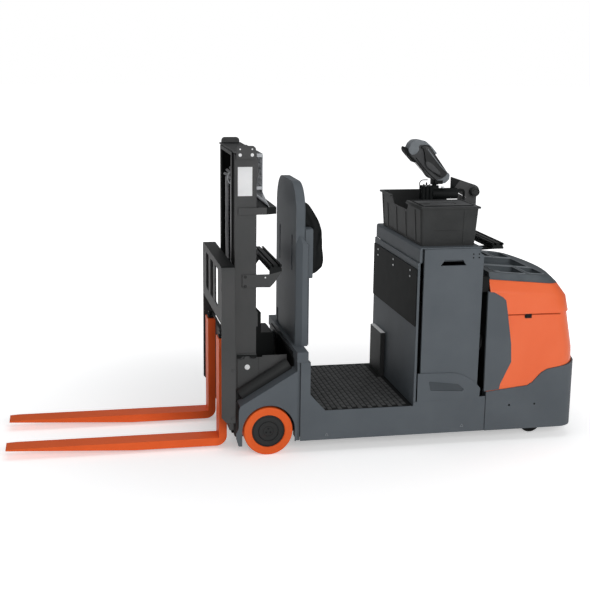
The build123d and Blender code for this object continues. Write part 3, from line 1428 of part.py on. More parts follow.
export_step(brow.part, "parts/hood.step")

# Grey tray on top with its open pockets
with BuildPart() as hood_tray:
    with BuildSketch(level(1011.0, hood_slope)):
        unit_outline(half_width - 42, unit_length - 126)
    with BuildSketch(level(1052.0, hood_slope)):
        unit_outline(half_width - 54, unit_length - 176)
    loft(ruled=True)
    with BuildSketch(level(1053.0, hood_slope)):
        # (centre x, centre y, length, width) of each pocket
        front_pocket_y = half_width - 196
        rear_pocket_y = half_width - 210
        for px, py, length, width in (
                (150, -front_pocket_y, 200, 228), (330, -rear_pocket_y, 110, 200),
                (210, 0, 330, 300), (150, front_pocket_y, 200, 228),
                (330, rear_pocket_y, 110, 200)):
            with Locations((px, py)):
                RectangleRounded(length, width, 20)
    extrude(amount=-36, mode=Mode.SUBTRACT)
hood_tray.part.label = "hood_tray"
export_step(hood_tray.part, "parts/hood_tray.step")

# Front wall of the power unit, seen in the gap behind the console
with BuildPart() as unit_wall:
    with BuildSketch(Plane.YZ.offset(unit_front_x)):
        low_y = half_width - 88
        wide_y = half_width - 28
        top_y = half_width - 56
        plate_outline([(-low_y, 93), (low_y, 93), (low_y, 330), (wide_y, 330),
                       (wide_y, 900), (top_y, 985), (-top_y, 985), (-wide_y, 900),
                       (-wide_y, 330), (-low_y, 330)])
    extrude(amount=8)
unit_wall.part.label = "unit_front_wall"
export_step(unit_wall.part, "parts/unit_front_wall.step")

# Side panels over the hood's front corners
for side, sign in (("near", 1), ("far", -1)):
    with BuildPart() as hood_panel:
        with BuildSketch(near_side(half_width - 3)):
            plate_outline(xz([
                (1090, 942), (1127, 938), (1183, 907), (1205, 886), (1218, 815),
                (1251, 617), (1258, 502), (1222, 426), (1194, 366), (1188, 333),
                (1092, 323),
            ]))
        extrude(amount=3)
        with BuildSketch(near_side(half_width - 6)):
            plate_outline(xz([
                (1090, 942), (1104, 941), (1104, 323), (1092, 323),
            ]))
        extrude(amount=16)
        if sign < 0:
            mirror(about=Plane.XZ, mode=Mode.REPLACE)
    hood_panel.part.label = f"hood_panel_{side}"
    export_step(hood_panel.part, f"parts/hood_panel_{side}.step")

# Rear deck inside the skirt, with the drive wheel's well and the motor above it
unit_wall_plate = 8.0
with BuildPart() as rear_deck:
    with BuildSketch(level(deck_rear_z)):
        unit_outline(half_width - skirt_wall, unit_length - skirt_wall,
                     unit_corner_r - skirt_wall)
        with Locations((unit_wall_plate / 2, 0)):
            Rectangle(unit_wall_plate, overall_width, mode=Mode.SUBTRACT)
        with Locations((unit_wall_plate + skirt_wall / 2, 0)):
            Rectangle(skirt_wall, overall_width, mode=Mode.SUBTRACT)
            Rectangle(skirt_wall, overall_width - 176)
        with Locations((drive_wheel_x - unit_front_x, 0)):
            Circle(well_r, mode=Mode.SUBTRACT)
    extrude(amount=deck_rear_plate)
    with BuildSketch(Plane.XY.offset(deck_rear_z)):
        with Locations((drive_wheel_x, 0)):
            Circle(well_r + well_wall)
            Circle(well_r, mode=Mode.SUBTRACT)
    extrude(amount=well_top_z - deck_rear_z)
    with BuildSketch(Plane.XY.offset(well_top_z)):
        with Locations((drive_wheel_x, 0)):
            Circle(well_r + well_wall)
    extrude(amount=deck_rear_plate)
    for sign in (-1, 1):
        with BuildSketch(Plane.XY.offset(deck_rear_z)):
            with Locations((caster_x, sign * caster_y)):
                Rectangle(110, 110)
        extrude(amount=-(deck_rear_z - 2 * caster_wheel_r - 52))
    # Drive motor
    with BuildSketch(Plane.XY.offset(well_top_z + deck_rear_plate)):
        with Locations((drive_wheel_x, 0)):
            Circle(120)
    extrude(amount=330)
rear_deck.part.label = "rear_deck"
export_step(rear_deck.part, "parts/rear_deck.step")

# Drive wheel and its steered fork
with BuildPart() as drive_fork:
    with BuildSketch(Plane.XY.offset(well_top_z - 30)):
        with Locations((drive_wheel_x, 0)):
            Circle(110)
    extrude(amount=30 - 0.4)
    for sign in (-1, 1):
        with BuildSketch(Plane.XZ.offset(-sign * (drive_wheel_width / 2 + 8))):
            with BuildLine():
                Polyline((drive_wheel_x - 60, well_top_z - 20),
                         (drive_wheel_x + 60, well_top_z - 20),
                         (drive_wheel_x + 34, drive_wheel_r - 30),
                         (drive_wheel_x - 34, drive_wheel_r - 30), close=True)
            make_face()
        extrude(amount=-sign * fork_plate)
    with BuildSketch(Plane.XZ.offset(-(drive_wheel_width / 2 + 8 + fork_plate))):
        with Locations((drive_wheel_x, drive_wheel_r)):
            Circle(axle_r)
    extrude(amount=drive_wheel_width + 16 + 2 * fork_plate)
drive_fork.part.label = "drive_fork"
export_step(drive_fork.part, "parts/drive_fork.step")
drive_centre = Plane(origin=(drive_wheel_x, drive_wheel_width / 2, drive_wheel_r),
                     x_dir=(0, -1, 0), z_dir=(1, 0, 0))
with BuildPart() as drive_tyre:
    with BuildSketch(drive_centre):
        with BuildLine():
            Polyline((0, drive_hub_r), (0, drive_wheel_r - 6), (6, drive_wheel_r),
                     (drive_wheel_width - 6, drive_wheel_r),
                     (drive_wheel_width, drive_wheel_r - 6),
                     (drive_wheel_width, drive_hub_r), close=True)
        make_face()
    revolve(axis=Axis((drive_wheel_x, 0, drive_wheel_r), (0, 1, 0)))
    with BuildSketch(drive_centre):
        with BuildLine():
            Polyline((0, axle_r + 0.5), (0, 60), (20, 66), (20, drive_hub_r - 10),
                     (4, drive_hub_r), (drive_wheel_width - 4, drive_hub_r),
                     (drive_wheel_width - 20, drive_hub_r - 10),
                     (drive_wheel_width - 20, 66), (drive_wheel_width, 60),
                     (drive_wheel_width, axle_r + 0.5), close=True)
        make_face()
    revolve(axis=Axis((drive_wheel_x, 0, drive_wheel_r), (0, 1, 0)))
drive_tyre.part.label = "drive_wheel"
export_step(drive_tyre.part, "parts/drive_wheel.step")

# Casters: swivel forks under the rear deck, the wheel trailing to the rear
caster_top_z = 2 * caster_wheel_r + 52
for side, sign in (("near", -1), ("far", 1)):
    wheel_x = caster_x + caster_trail
    with BuildPart() as caster_fork:
        with BuildSketch(Plane.XY.offset(caster_top_z - 28)):
            with Locations((caster_x, sign * caster_y)):
                Circle(46)
        extrude(amount=28 - 0.4)
        for edge in (-1, 1):
            plate_y = sign * caster_y + edge * (caster_wheel_width / 2 + 6)
            with BuildSketch(Plane.XZ.offset(-plate_y)):
                with BuildLine():
                    Polyline((caster_x - 26, caster_top_z - 20),
                             (caster_x + 34, caster_top_z - 20),
                             (wheel_x + 18, caster_wheel_r - 16),
                             (wheel_x - 18, caster_wheel_r - 16), close=True)
                make_face()
            extrude(amount=-edge * 6)
        with BuildSketch(Plane.XZ.offset(-(sign * caster_y + caster_wheel_width / 2 + 12))):
            with Locations((wheel_x, caster_wheel_r)):
                Circle(9)
        extrude(amount=caster_wheel_width + 24)
    caster_fork.part.label = f"caster_fork_{side}"
    export_step(caster_fork.part, f"parts/caster_fork_{side}.step")
    with BuildPart() as caster_wheel:
        wheel_plane = Plane(
            origin=(wheel_x, sign * caster_y + caster_wheel_width / 2, caster_wheel_r),
            x_dir=(0, -1, 0), z_dir=(1, 0, 0))
        with BuildSketch(wheel_plane):
            with BuildLine():
                Polyline((0, 9.5), (0, caster_wheel_r - 6), (6, caster_wheel_r),
                         (caster_wheel_width - 6, caster_wheel_r),
                         (caster_wheel_width, caster_wheel_r - 6),
                         (caster_wheel_width, 9.5), close=True)
            make_face()
        revolve(axis=Axis((wheel_x, 0, caster_wheel_r), (0, 1, 0)))
    caster_wheel.part.label = f"caster_wheel_{side}"
    export_step(caster_wheel.part, f"parts/caster_wheel_{side}.step")
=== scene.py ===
import math

import bpy
from mathutils import Matrix, Vector


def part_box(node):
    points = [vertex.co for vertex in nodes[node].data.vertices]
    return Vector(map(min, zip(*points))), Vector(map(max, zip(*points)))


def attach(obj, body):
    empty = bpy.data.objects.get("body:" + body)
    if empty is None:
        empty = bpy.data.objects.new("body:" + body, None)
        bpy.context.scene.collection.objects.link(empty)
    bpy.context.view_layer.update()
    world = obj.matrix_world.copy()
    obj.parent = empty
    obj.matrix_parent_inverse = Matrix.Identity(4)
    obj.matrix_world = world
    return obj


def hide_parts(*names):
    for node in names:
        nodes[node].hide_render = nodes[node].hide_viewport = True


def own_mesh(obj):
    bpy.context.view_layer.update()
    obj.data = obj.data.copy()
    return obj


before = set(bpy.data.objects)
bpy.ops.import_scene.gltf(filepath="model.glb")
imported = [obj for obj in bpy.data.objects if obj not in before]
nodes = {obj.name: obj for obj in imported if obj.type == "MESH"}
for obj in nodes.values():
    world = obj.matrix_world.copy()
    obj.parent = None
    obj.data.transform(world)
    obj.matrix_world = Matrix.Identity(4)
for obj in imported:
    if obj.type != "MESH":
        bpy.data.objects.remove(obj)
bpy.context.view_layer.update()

# Camera, solved from the photograph, in metres and degrees
CAMERA_PLACE = Vector((-1.3485, -6.6383, 2.3611))
CAMERA_YAW = 11.569
CAMERA_PITCH = -12.540
CAMERA_ROLL = 0.683
CAMERA_LENS = 68.39
SENSOR_WIDTH = 36.0

MM = 0.001


def make_camera():
    """The photograph's viewpoint."""
    yaw = math.radians(CAMERA_YAW)
    pitch = math.radians(CAMERA_PITCH)
    roll = math.radians(CAMERA_ROLL)
    ahead = Vector((math.sin(yaw) * math.cos(pitch), math.cos(yaw) * math.cos(pitch),
                    math.sin(pitch)))
    level_right = Vector((math.cos(yaw), -math.sin(yaw), 0))
    level_up = level_right.cross(ahead)
    right = math.cos(roll) * level_right + math.sin(roll) * level_up
    up = right.cross(ahead)
    turn = Matrix((right, up, -ahead)).transposed()
    bpy.ops.object.camera_add(location=CAMERA_PLACE, rotation=turn.to_euler())
    camera = bpy.context.object
    camera.name = "camera"
    camera.data.lens = CAMERA_LENS
    camera.data.sensor_width = SENSOR_WIDTH
    camera.data.clip_end = 200
    bpy.context.scene.camera = camera


make_camera()


# Finishes

def linear(hex_colour):
    """A colour written as in a picture editor, turned to the renderer's own scale."""
    parts = [int(hex_colour[i:i + 2], 16) / 255 for i in (1, 3, 5)]
    return tuple(c / 12.92 if c <= 0.04045 else ((c + 0.055) / 1.055) ** 2.4
                 for c in parts) + (1.0,)


def add_node(tree, kind, settings=None, sockets=None):
    """Adds one node; a socket takes a constant, or the output that feeds it."""
    node = tree.nodes.new(kind)
    for name, value in (settings or {}).items():
        setattr(node, name, value)
    for name, value in (sockets or {}).items():
        if isinstance(value, bpy.types.NodeSocket):
            tree.links.new(value, node.inputs[name])
        else:
            node.inputs[name].default_value = value
    return node


def new_finish(name):
    """An empty material, its output node and the surface's own coordinates."""
    finish = bpy.data.materials.new(name)
    finish.use_nodes = True
    tree = finish.node_tree
    tree.nodes.clear()
    output = add_node(tree, "ShaderNodeOutputMaterial")
    place = add_node(tree, "ShaderNodeTexCoord").outputs["Object"]
    return finish, tree, output, place


def per_metre(size_mm):
    """Texture scale whose features are about size_mm across."""
    return 1 / (size_mm * MM)


def two_tones(tree, factor, dark, light, low=0.35, high=0.65):
    """A ramp between two written colours."""
    tone = add_node(tree, "ShaderNodeValToRGB", sockets={"Fac": factor})
    tone.color_ramp.elements[0].position = low
    tone.color_ramp.elements[0].color = linear(dark)
    tone.color_ramp.elements[1].position = high
    tone.color_ramp.elements[1].color = linear(light)
    return tone.outputs["Color"]


# Sizes of the patterns in mm. Orange peel on real paint is about 1 mm wide, moulded grain
# under 1 mm and a tool mark under 0.2 mm, all too fine for the render, so they are coarser.
PEEL_DEPTH_MM = 0.05
TONE_DRIFT_MM = 260.0
MOULD_FLOW_MM = 90.0
OIL_FILM_MM = 30.0
TOOL_MARK_MM = 1.2
VINYL_CELL_MM = 4.0
VINYL_CELL_DEPTH_MM = 0.3
VINYL_FOLD_MM = 60.0
PAINT_SHEEN_SPREAD = 0.06
METAL_SHEEN_SPREAD = 0.1


def painted_steel(name, light, dark, grit_mm=4.0, roughness=0.5, coat=0.0, specular=0.22):
    """Baked paint: a fine orange peel softens its highlights, and its tone drifts."""
    finish, tree, output, place = new_finish(name)
    cloud = add_node(tree, "ShaderNodeTexNoise", sockets={
        "Vector": place, "Scale": per_metre(TONE_DRIFT_MM), "Detail": 3.0})
    grit = add_node(tree, "ShaderNodeTexNoise", sockets={
        "Vector": place, "Scale": per_metre(grit_mm), "Detail": 2.0})
    sheen = add_node(tree, "ShaderNodeMapRange", sockets={
        "Value": grit.outputs["Fac"], "To Min": roughness - PAINT_SHEEN_SPREAD,
        "To Max": roughness + PAINT_SHEEN_SPREAD})
    relief = add_node(tree, "ShaderNodeBump", sockets={
        "Height": grit.outputs["Fac"], "Strength": 0.35,
        "Distance": PEEL_DEPTH_MM * MM})
    shader = add_node(tree, "ShaderNodeBsdfPrincipled", sockets={
        "Base Color": two_tones(tree, cloud.outputs["Fac"], dark, light),
        "Roughness": sheen.outputs["Result"], "Specular IOR Level": specular,
        "Normal": relief.outputs["Normal"], "Coat Weight": coat, "Coat Roughness": 0.12})
    tree.links.new(shader.outputs["BSDF"], output.inputs["Surface"])
    return finish


def moulded_plastic(name, light, dark, grain_mm=2.5, grain_depth_mm=0.12, roughness=0.6,
                    specular=0.18):
    """Injection-moulded plastic: the mould's etched grain breaks up its shine."""
    finish, tree, output, place = new_finish(name)
    grain = add_node(tree, "ShaderNodeTexVoronoi", sockets={
        "Vector": place, "Scale": per_metre(grain_mm)})
    flow = add_node(tree, "ShaderNodeTexNoise", sockets={
        "Vector": place, "Scale": per_metre(MOULD_FLOW_MM), "Detail": 4.0})
    relief = add_node(tree, "ShaderNodeBump", sockets={
        "Height": grain.outputs["Distance"], "Strength": 0.3,
        "Distance": grain_depth_mm * MM})
    shader = add_node(tree, "ShaderNodeBsdfPrincipled", sockets={
        "Base Color": two_tones(tree, flow.outputs["Fac"], dark, light),
        "Roughness": roughness, "Specular IOR Level": specular,
        "Normal": relief.outputs["Normal"]})
    tree.links.new(shader.outputs["BSDF"], output.inputs["Surface"])
    return finish


def machined_metal(name, light, dark, roughness=0.35):
    """Bare metal: tool marks spread its reflections, and the oil film darkens patches."""
    finish, tree, output, place = new_finish(name)
    film = add_node(tree, "ShaderNodeTexNoise", sockets={
        "Vector": place, "Scale": per_metre(OIL_FILM_MM), "Detail": 4.0})
    marks = add_node(tree, "ShaderNodeTexNoise", sockets={
        "Vector": place, "Scale": per_metre(TOOL_MARK_MM), "Detail": 2.0})
    sheen = add_node(tree, "ShaderNodeMapRange", sockets={
        "Value": marks.outputs["Fac"], "To Min": roughness - METAL_SHEEN_SPREAD,
        "To Max": roughness + METAL_SHEEN_SPREAD})
    shader = add_node(tree, "ShaderNodeBsdfPrincipled", sockets={
        "Base Color": two_tones(tree, film.outputs["Fac"], dark, light),
        "Metallic": 1.0, "Roughness": sheen.outputs["Result"]})
    tree.links.new(shader.outputs["BSDF"], output.inputs["Surface"])
    return finish


def sewn_vinyl(name, light, dark):
    """Coated upholstery cloth: leather-like cells a few millimetres wide, pressed in."""
    finish, tree, output, place = new_finish(name)
    cells = add_node(tree, "ShaderNodeTexVoronoi", {"feature": "DISTANCE_TO_EDGE"}, {
        "Vector": place, "Scale": per_metre(VINYL_CELL_MM)})
    folds = add_node(tree, "ShaderNodeTexNoise", sockets={
        "Vector": place, "Scale": per_metre(VINYL_FOLD_MM), "Detail": 5.0})
    relief = add_node(tree, "ShaderNodeBump", sockets={
        "Height": cells.outputs["Distance"], "Strength": 0.25,
        "Distance": VINYL_CELL_DEPTH_MM * MM})
    shader = add_node(tree, "ShaderNodeBsdfPrincipled", sockets={
        "Base Color": two_tones(tree, folds.outputs["Fac"], dark, light),
        "Roughness": 0.6, "Specular IOR Level": 0.12, "Normal": relief.outputs["Normal"]})
    tree.links.new(shader.outputs["BSDF"], output.inputs["Surface"])
    return finish


# Each finish with the record's slot that it stands for
FINISHES = {
    # Powder coat, baked on steel: even, matt, no sharp reflection
    "powder_coat_slate": (painted_steel(
        "powder_coat_slate", "#5E6469", "#585E63", roughness=0.6), "frame_grey"),
    # Sprayed enamel on rolled channels: a neutral dark grey, almost no shine
    "mast_enamel": (painted_steel(
        "mast_enamel", "#515151", "#4B4C4C", roughness=0.6, specular=0.15), "mast_grey"),
    # The same powder coat in a recess: darker, it stands for the shade there
    "slate_shade": (painted_steel(
        "slate_shade", "#4A4F54", "#444A4E", roughness=0.6), "frame_grey"),
    # Painted shade: the hood's orange as it looks in the shadow under the brow, darker and
    # duller
    "hood_shade": (painted_steel(
        "hood_shade", "#B4451C", "#A83E18", roughness=0.6), "hood_orange"),
    # Dipped black enamel: deep, with a weak broad highlight
    "black_chassis_enamel": (painted_steel(
        "black_chassis_enamel", "#191B1B", "#131515", roughness=0.55, specular=0.12),
        "black_paint"),
    # Sprayed enamel on forged forks: a bright flat orange
    "fork_enamel": (painted_steel(
        "fork_enamel", "#FF6C30", "#F8672C", roughness=0.5), "fork_orange"),
    # Moulded ABS with clear lacquer: the one body colour that shines a little
    "abs_hood_orange": (painted_steel(
        "abs_hood_orange", "#FF7747", "#FC7242", grit_mm=7.0, roughness=0.4, coat=0.12),
        "hood_orange"),
    # Moulded ABS, grained: matt grey-blue, close to the frame's paint
    "abs_tray_slate": (moulded_plastic(
        "abs_tray_slate", "#5B6165", "#53595D"), "tray_plastic"),
    # Moulded polypropylene: waxy dark grey, soft highlight
    "polypropylene_black": (moulded_plastic(
        "polypropylene_black", "#373838", "#313232"), "black_plastic"),
    # Pressed fibre board: flat black, it reflects next to nothing
    "board_black": (moulded_plastic(
        "board_black", "#1B1D1D", "#151717", specular=0.04), "black_plastic"),
    # Vulcanised rubber: nearly black, dry and matt
    "rubber_black": (moulded_plastic(
        "rubber_black", "#191A1A", "#121414", roughness=0.75),
        "wheel_black"),
    # Worn rubber matting: greyer than new rubber, with a coarse grain
    "mat_rubber": (moulded_plastic(
        "mat_rubber", "#555656", "#4B4C4C", grain_mm=4.0, roughness=0.75),
        "mat_rubber"),
    # Cast polyurethane tyre: solid orange, smooth and half matt
    "polyurethane_orange": (painted_steel(
        "polyurethane_orange", "#F4682B", "#EE6226", roughness=0.5), "tyre_orange"),
    # Painted cast iron: rough under its paint, soft edges to the light
    "cast_hub_black": (painted_steel(
        "cast_hub_black", "#363737", "#2F3030", roughness=0.55, specular=0.15),
        "hub_black"),
    # Turned steel under oil: metal reflections, blurred by tool marks
    "oiled_steel": (machined_metal("oiled_steel", "#9A9B9C", "#747576"), "bare_steel"),
    # Bare sheave rims, drawn as a plain surface, not as metal: their near-white colour is a
    # painted reflection of bright light on polished steel
    "bright_steel": (painted_steel(
        "bright_steel", "#F2F3F4", "#E4E6E8", grit_mm=6.0, roughness=0.35, specular=0.5),
        "bare_steel"),
    # Bare chain plates, drawn as a plain surface, not as metal: their pale grey is a
    # painted reflection of bright light on the steel
    "chain_steel": (painted_steel(
        "chain_steel", "#C6C7C8", "#A6A7A8", grit_mm=6.0, roughness=0.4, specular=0.4),
        "bare_steel"),
    # Zinc-plated fasteners: pale metal with a clear glint
    "zinc_plate": (machined_metal("zinc_plate", "#C3C5C6", "#A2A4A6", roughness=0.3),
                   "bare_steel"),
    # Zinc-dipped wire: pale, dull, drawn as a plain surface
    "galvanised_wire": (painted_steel(
        "galvanised_wire", "#C2C5C8", "#B4B7BA", roughness=0.5), "black_paint"),
    # Coated upholstery cloth: black, with small cells that catch the light
    "vinyl_black": (sewn_vinyl("vinyl_black", "#1B1D1D", "#131515"), "cushion_vinyl"),
    # Moulded nylon: clean white, no shine
    "nylon_white": (moulded_plastic("nylon_white", "#FAFAFA", "#F3F4F4"), "black_plastic"),
    # Moulded ABS, grained: light grey caps and trims
    "abs_light_grey": (moulded_plastic(
        "abs_light_grey", "#858A8E", "#7B8084", grain_mm=3.5, grain_depth_mm=0.3),
        "black_plastic"),
    # Moulded ABS, grained: dark grey shells
    "abs_dark_grey": (moulded_plastic(
        "abs_dark_grey", "#515253", "#494A4B"), "black_plastic"),
    # Smooth black plastic and glass: dark, with one clear highlight
    "gloss_black": (painted_steel(
        "gloss_black", "#15171A", "#101213", grit_mm=9.0, roughness=0.32, coat=0.08),
        "black_plastic"),
}

# The finish of each CAD piece, and the width in mm that its edges are rounded by
NODE_FINISHES = {
    "powder_coat_slate": (1.6, (
        "side_frame_near", "side_frame_far", "floor_pan", "cross_beam", "back_post",
        "fender_near", "fender_far", "console_body", "side_door_near", "side_door_far",
        "step_cover_near", "step_cover_far", "rear_skirt", "hood_panel_near",
        "hood_panel_far")),
    "mast_enamel": (1.6, (
        "outer_mast", "inner_mast", "upper_guard", "carriage_frame", "load_back_rest",
        "mast_base_near", "mast_base_far", "front_rail")),
    "black_chassis_enamel": (1.6, (
        "pump_cover", "rear_rail", "unit_front_wall", "rear_deck", "control_arm",
        "drive_fork", "battery", "cylinder_barrels")),
    "galvanised_wire": (0.6, ("guard_screen",)),
    "fork_enamel": (2.5, ("fork_near", "fork_far")),
    "abs_hood_orange": (6.0, ("hood",)),
    "abs_tray_slate": (3.0, ("hood_tray",)),
    "polypropylene_black": (1.5, ("storage_bin", "post_box")),
    "abs_dark_grey": (1.5, ("bin_lid",)),
    "board_black": (0.5, ("wall_board", "scanner_cable")),
    "rubber_black": (2.0, ("drive_wheel", "caster_wheel_near", "caster_wheel_far",
                           "floor_mat")),
    "polyurethane_orange": (2.0, ("load_tyre_near", "load_tyre_far")),
    "cast_hub_black": (1.0, ("load_hub_near", "load_hub_far")),
    "oiled_steel": (0.8, ("chain_sheaves", "cylinder_rods", "caster_fork_near",
                          "caster_fork_far")),
}
SHARP_ANGLE = math.radians(32)
EDGE_SEGMENTS = 2
WELD_REACH_MM = 0.02


def round_edges(piece, width_mm):
    """Joins the triangles, rounds the sharp edges and evens out the shading."""
    piece.modifiers.new("weld", "WELD").merge_threshold = WELD_REACH_MM * MM
    bevel = piece.modifiers.new("round", "BEVEL")
    bevel.width = width_mm * MM
    bevel.segments = EDGE_SEGMENTS
    bevel.limit_method = "ANGLE"
    bevel.angle_limit = SHARP_ANGLE
    bevel.miter_outer = "MITER_ARC"
    bevel.use_clamp_overlap = True
    even = piece.modifiers.new("even", "WEIGHTED_NORMAL")
    even.keep_sharp = False


for finish_name, (edge_mm, members) in NODE_FINISHES.items():
    for member in members:
        nodes[member].data.materials.clear()
        nodes[member].data.materials.append(FINISHES[finish_name][0])
        round_edges(nodes[member], edge_mm)


def paint_area(node, finish_name, low, high):
    """Gives a second finish to the faces of a CAD piece that lie in a box, in mm."""
    piece = nodes[node]
    piece.data.materials.append(FINISHES[finish_name][0])
    slot = len(piece.data.materials) - 1
    for face in piece.data.polygons:
        if all(a <= c / MM <= b for a, c, b in zip(low, face.center, high)):
            face.material_index = slot


# (CAD piece, finish, lowest corner, highest corner)
for area in (
        ("front_rail", "black_chassis_enamel", (-209, -315, 1074), (-133, 315, 1111)),
        ("upper_guard", "black_chassis_enamel", (-225, -305.9, 1400), (0, 305.9, 1450)),
        ("upper_guard", "black_chassis_enamel", (-400, -320, 1446.9), (0, 320, 1450)),
        ("floor_pan", "black_chassis_enamel", (-46.1, -470, 248), (-45.9, 470, 560)),
        ("cross_beam", "black_chassis_enamel", (-78, -360, 560), (-69.1, 360, 590)),
        ("load_back_rest", "black_chassis_enamel", (-510, -430, 1115), (-400, 430, 1130)),
        ("post_box", "nylon_white", (600, 0, 527), (650, 460, 550)),
        ("step_cover_near", "slate_shade", (735, -479.5, 333), (962, -474.5, 401)),
        ("step_cover_far", "slate_shade", (735, 474.5, 333), (962, 479.5, 401)),
        ("console_body", "black_chassis_enamel", (1045.9, -450, 240), (1050, 450, 1125)),
        ("control_arm", "mast_enamel", (1030, 109.9, 1180), (1230, 130, 1570)),
        ("control_arm", "cast_hub_black", (1140, 60, 1430), (1230, 109, 1510)),
        ("back_post", "black_chassis_enamel", (-46, -216, 1052), (-30, 216, 1275)),
        ("inner_mast", "black_chassis_enamel", (-999, -300, 0), (999, 300, 1999)),
        ("outer_mast", "black_chassis_enamel", (-999, -300, 0), (999, 300, 1999)),
        ("upper_guard", "black_chassis_enamel", (-240, -300, 1450), (0, 300, 1900))):
    paint_area(*area)


# Tools for the pieces that only the scene has, all in mm

RING_SIDES = 40
WASHER_HEIGHT = 1.2
WASHER_SHARE = 1.3

def start_piece():
    """Leaves nothing selected, so that an operator works on the new piece alone."""
    bpy.ops.object.select_all(action="DESELECT")


def block(low, high):
    """A box between two corners."""
    start_piece()
    low, high = Vector(low) * MM, Vector(high) * MM
    bpy.ops.mesh.primitive_cube_add(size=1, location=(low + high) / 2)
    bpy.context.object.scale = high - low
    bpy.ops.object.transform_apply(location=True, rotation=True, scale=True)
    return bpy.context.object


def pin(start, end, radius, sides=24):
    """A round or many-sided bar between two points."""
    start_piece()
    start, end = Vector(start) * MM, Vector(end) * MM
    run = end - start
    bpy.ops.mesh.primitive_cone_add(
        vertices=sides, radius1=radius * MM, radius2=radius * MM, depth=run.length,
        location=(start + end) / 2, rotation=run.to_track_quat("Z", "Y").to_euler())
    bpy.ops.object.transform_apply(location=True, rotation=True, scale=True)
    return bpy.context.object


def ring(centre, toward, radius, thickness):
    """A round ring that faces along a direction."""
    start_piece()
    turn = Vector(toward).to_track_quat("Z", "Y").to_euler()
    bpy.ops.mesh.primitive_torus_add(
        location=Vector(centre) * MM, rotation=turn, major_radius=radius * MM,
        minor_radius=thickness * MM, major_segments=RING_SIDES, minor_segments=10)
    bpy.ops.object.transform_apply(location=True, rotation=True, scale=True)
    return bpy.context.object


def prism(outline, start, depth, along="Y"):
    """A plate whose flat outline stands at start and is extruded by depth."""
    start_piece()
    bpy.ops.mesh.primitive_circle_add(vertices=len(outline), fill_type="NGON")
    plate = bpy.context.object
    spot = {"Y": lambda a, b, c: (a, c, b), "Z": lambda a, b, c: (a, b, c)}[along]
    for vertex, (a, b) in zip(plate.data.vertices, outline):
        vertex.co = Vector(spot(a, b, start)) * MM
    bpy.ops.object.mode_set(mode="EDIT")
    bpy.ops.mesh.select_all(action="SELECT")
    bpy.ops.mesh.extrude_region_move(
        TRANSFORM_OT_translate={"value": Vector(spot(0, 0, depth)) * MM})
    bpy.ops.mesh.select_all(action="SELECT")
    bpy.ops.mesh.normals_make_consistent(inside=False)
    bpy.ops.object.mode_set(mode="OBJECT")
    return plate


def soften(outline, radius, steps=4):
    """An outline with each of its corners turned to a small arc."""
    done = []
    count = len(outline)
    for i, corner in enumerate(outline):
        corner = Vector(corner)
        before = Vector(outline[i - 1]) - corner
        after = Vector(outline[(i + 1) % count]) - corner
        reach = min(radius, before.length * 0.49, after.length * 0.49)
        a = corner + before.normalized() * reach
        b = corner + after.normalized() * reach
        for step in range(steps + 1):
            t = step / steps
            done.append(tuple((1 - t) ** 2 * a + 2 * t * (1 - t) * corner + t * t * b))
    return done


def hose(points, radius, closed=False):
    """A round bar or hose that runs smoothly along points."""
    start_piece()
    line = bpy.data.curves.new("hose", "CURVE")
    line.dimensions = "3D"
    run = line.splines.new("NURBS")
    run.points.add(len(points) - 1)
    for point, place in zip(run.points, points):
        point.co = (Vector(place) * MM).to_4d()
    run.order_u = 3
    run.use_endpoint_u = not closed
    run.use_cyclic_u = closed
    run.resolution_u = 8
    line.bevel_depth = radius * MM
    line.bevel_resolution = 4
    line.use_fill_caps = True
    piece = bpy.data.objects.new("hose", line)
    bpy.context.collection.objects.link(piece)
    piece.select_set(True)
    bpy.context.view_layer.objects.active = piece
    bpy.ops.object.convert(target="MESH")
    return bpy.context.object


def join(pieces):
    """Makes one piece of several."""
    start_piece()
    for piece in pieces:
        piece.select_set(True)
    bpy.context.view_layer.objects.active = pieces[0]
    if len(pieces) > 1:
        bpy.ops.object.join()
    return bpy.context.object


def repeat(piece, moves):
    """A piece copied to each move in mm, every copy with its own mesh, then joined."""
    copies = []
    for move in moves:
        copy = piece.copy()
        copy.data = piece.data.copy()
        copy.data.transform(Matrix.Translation(Vector(move) * MM))
        bpy.context.collection.objects.link(copy)
        copies.append(copy)
    bpy.data.objects.remove(piece)
    return join(copies)


def both_sides(piece):
    """The piece and its mirror image on the other side of the machine."""
    twin = piece.copy()
    twin.data = piece.data.copy()
    twin.data.transform(Matrix.Scale(-1, 4, (0, 1, 0)))
    bpy.context.collection.objects.link(twin)
    start_piece()
    twin.select_set(True)
    bpy.context.view_layer.objects.active = twin
    bpy.ops.object.mode_set(mode="EDIT")
    bpy.ops.mesh.select_all(action="SELECT")
    bpy.ops.mesh.normals_make_consistent(inside=False)
    bpy.ops.object.mode_set(mode="OBJECT")
    return join([piece, twin])


def dress(piece, name, finish_name, body="chassis", edge_mm=0.0, segments=2):
    """Names a piece, rounds its edges, gives it a finish and lets it ride on a body."""
    piece.name = name
    piece.data.name = name
    start_piece()
    piece.select_set(True)
    bpy.context.view_layer.objects.active = piece
    if edge_mm:
        bevel = piece.modifiers.new("round", "BEVEL")
        bevel.width = edge_mm * MM
        bevel.segments = segments
        bevel.limit_method = "ANGLE"
        bevel.angle_limit = SHARP_ANGLE
        bevel.use_clamp_overlap = True
        bpy.ops.object.modifier_apply(modifier="round")
    bpy.ops.object.shade_smooth_by_angle(angle=SHARP_ANGLE)
    finish, slot = FINISHES[finish_name]
    piece.data.materials.clear()
    piece.data.materials.append(finish)
    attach(piece, body)
    return piece


def bolt(place, toward, size):
    """A hexagon head on its washer; place is on the face that it stands on."""
    place, toward = Vector(place), Vector(toward)
    plate = pin(place, place + toward * WASHER_HEIGHT, size * WASHER_SHARE)
    head = pin(place + toward, place + toward * size * 0.7, size, sides=6)
    return join([plate, head])


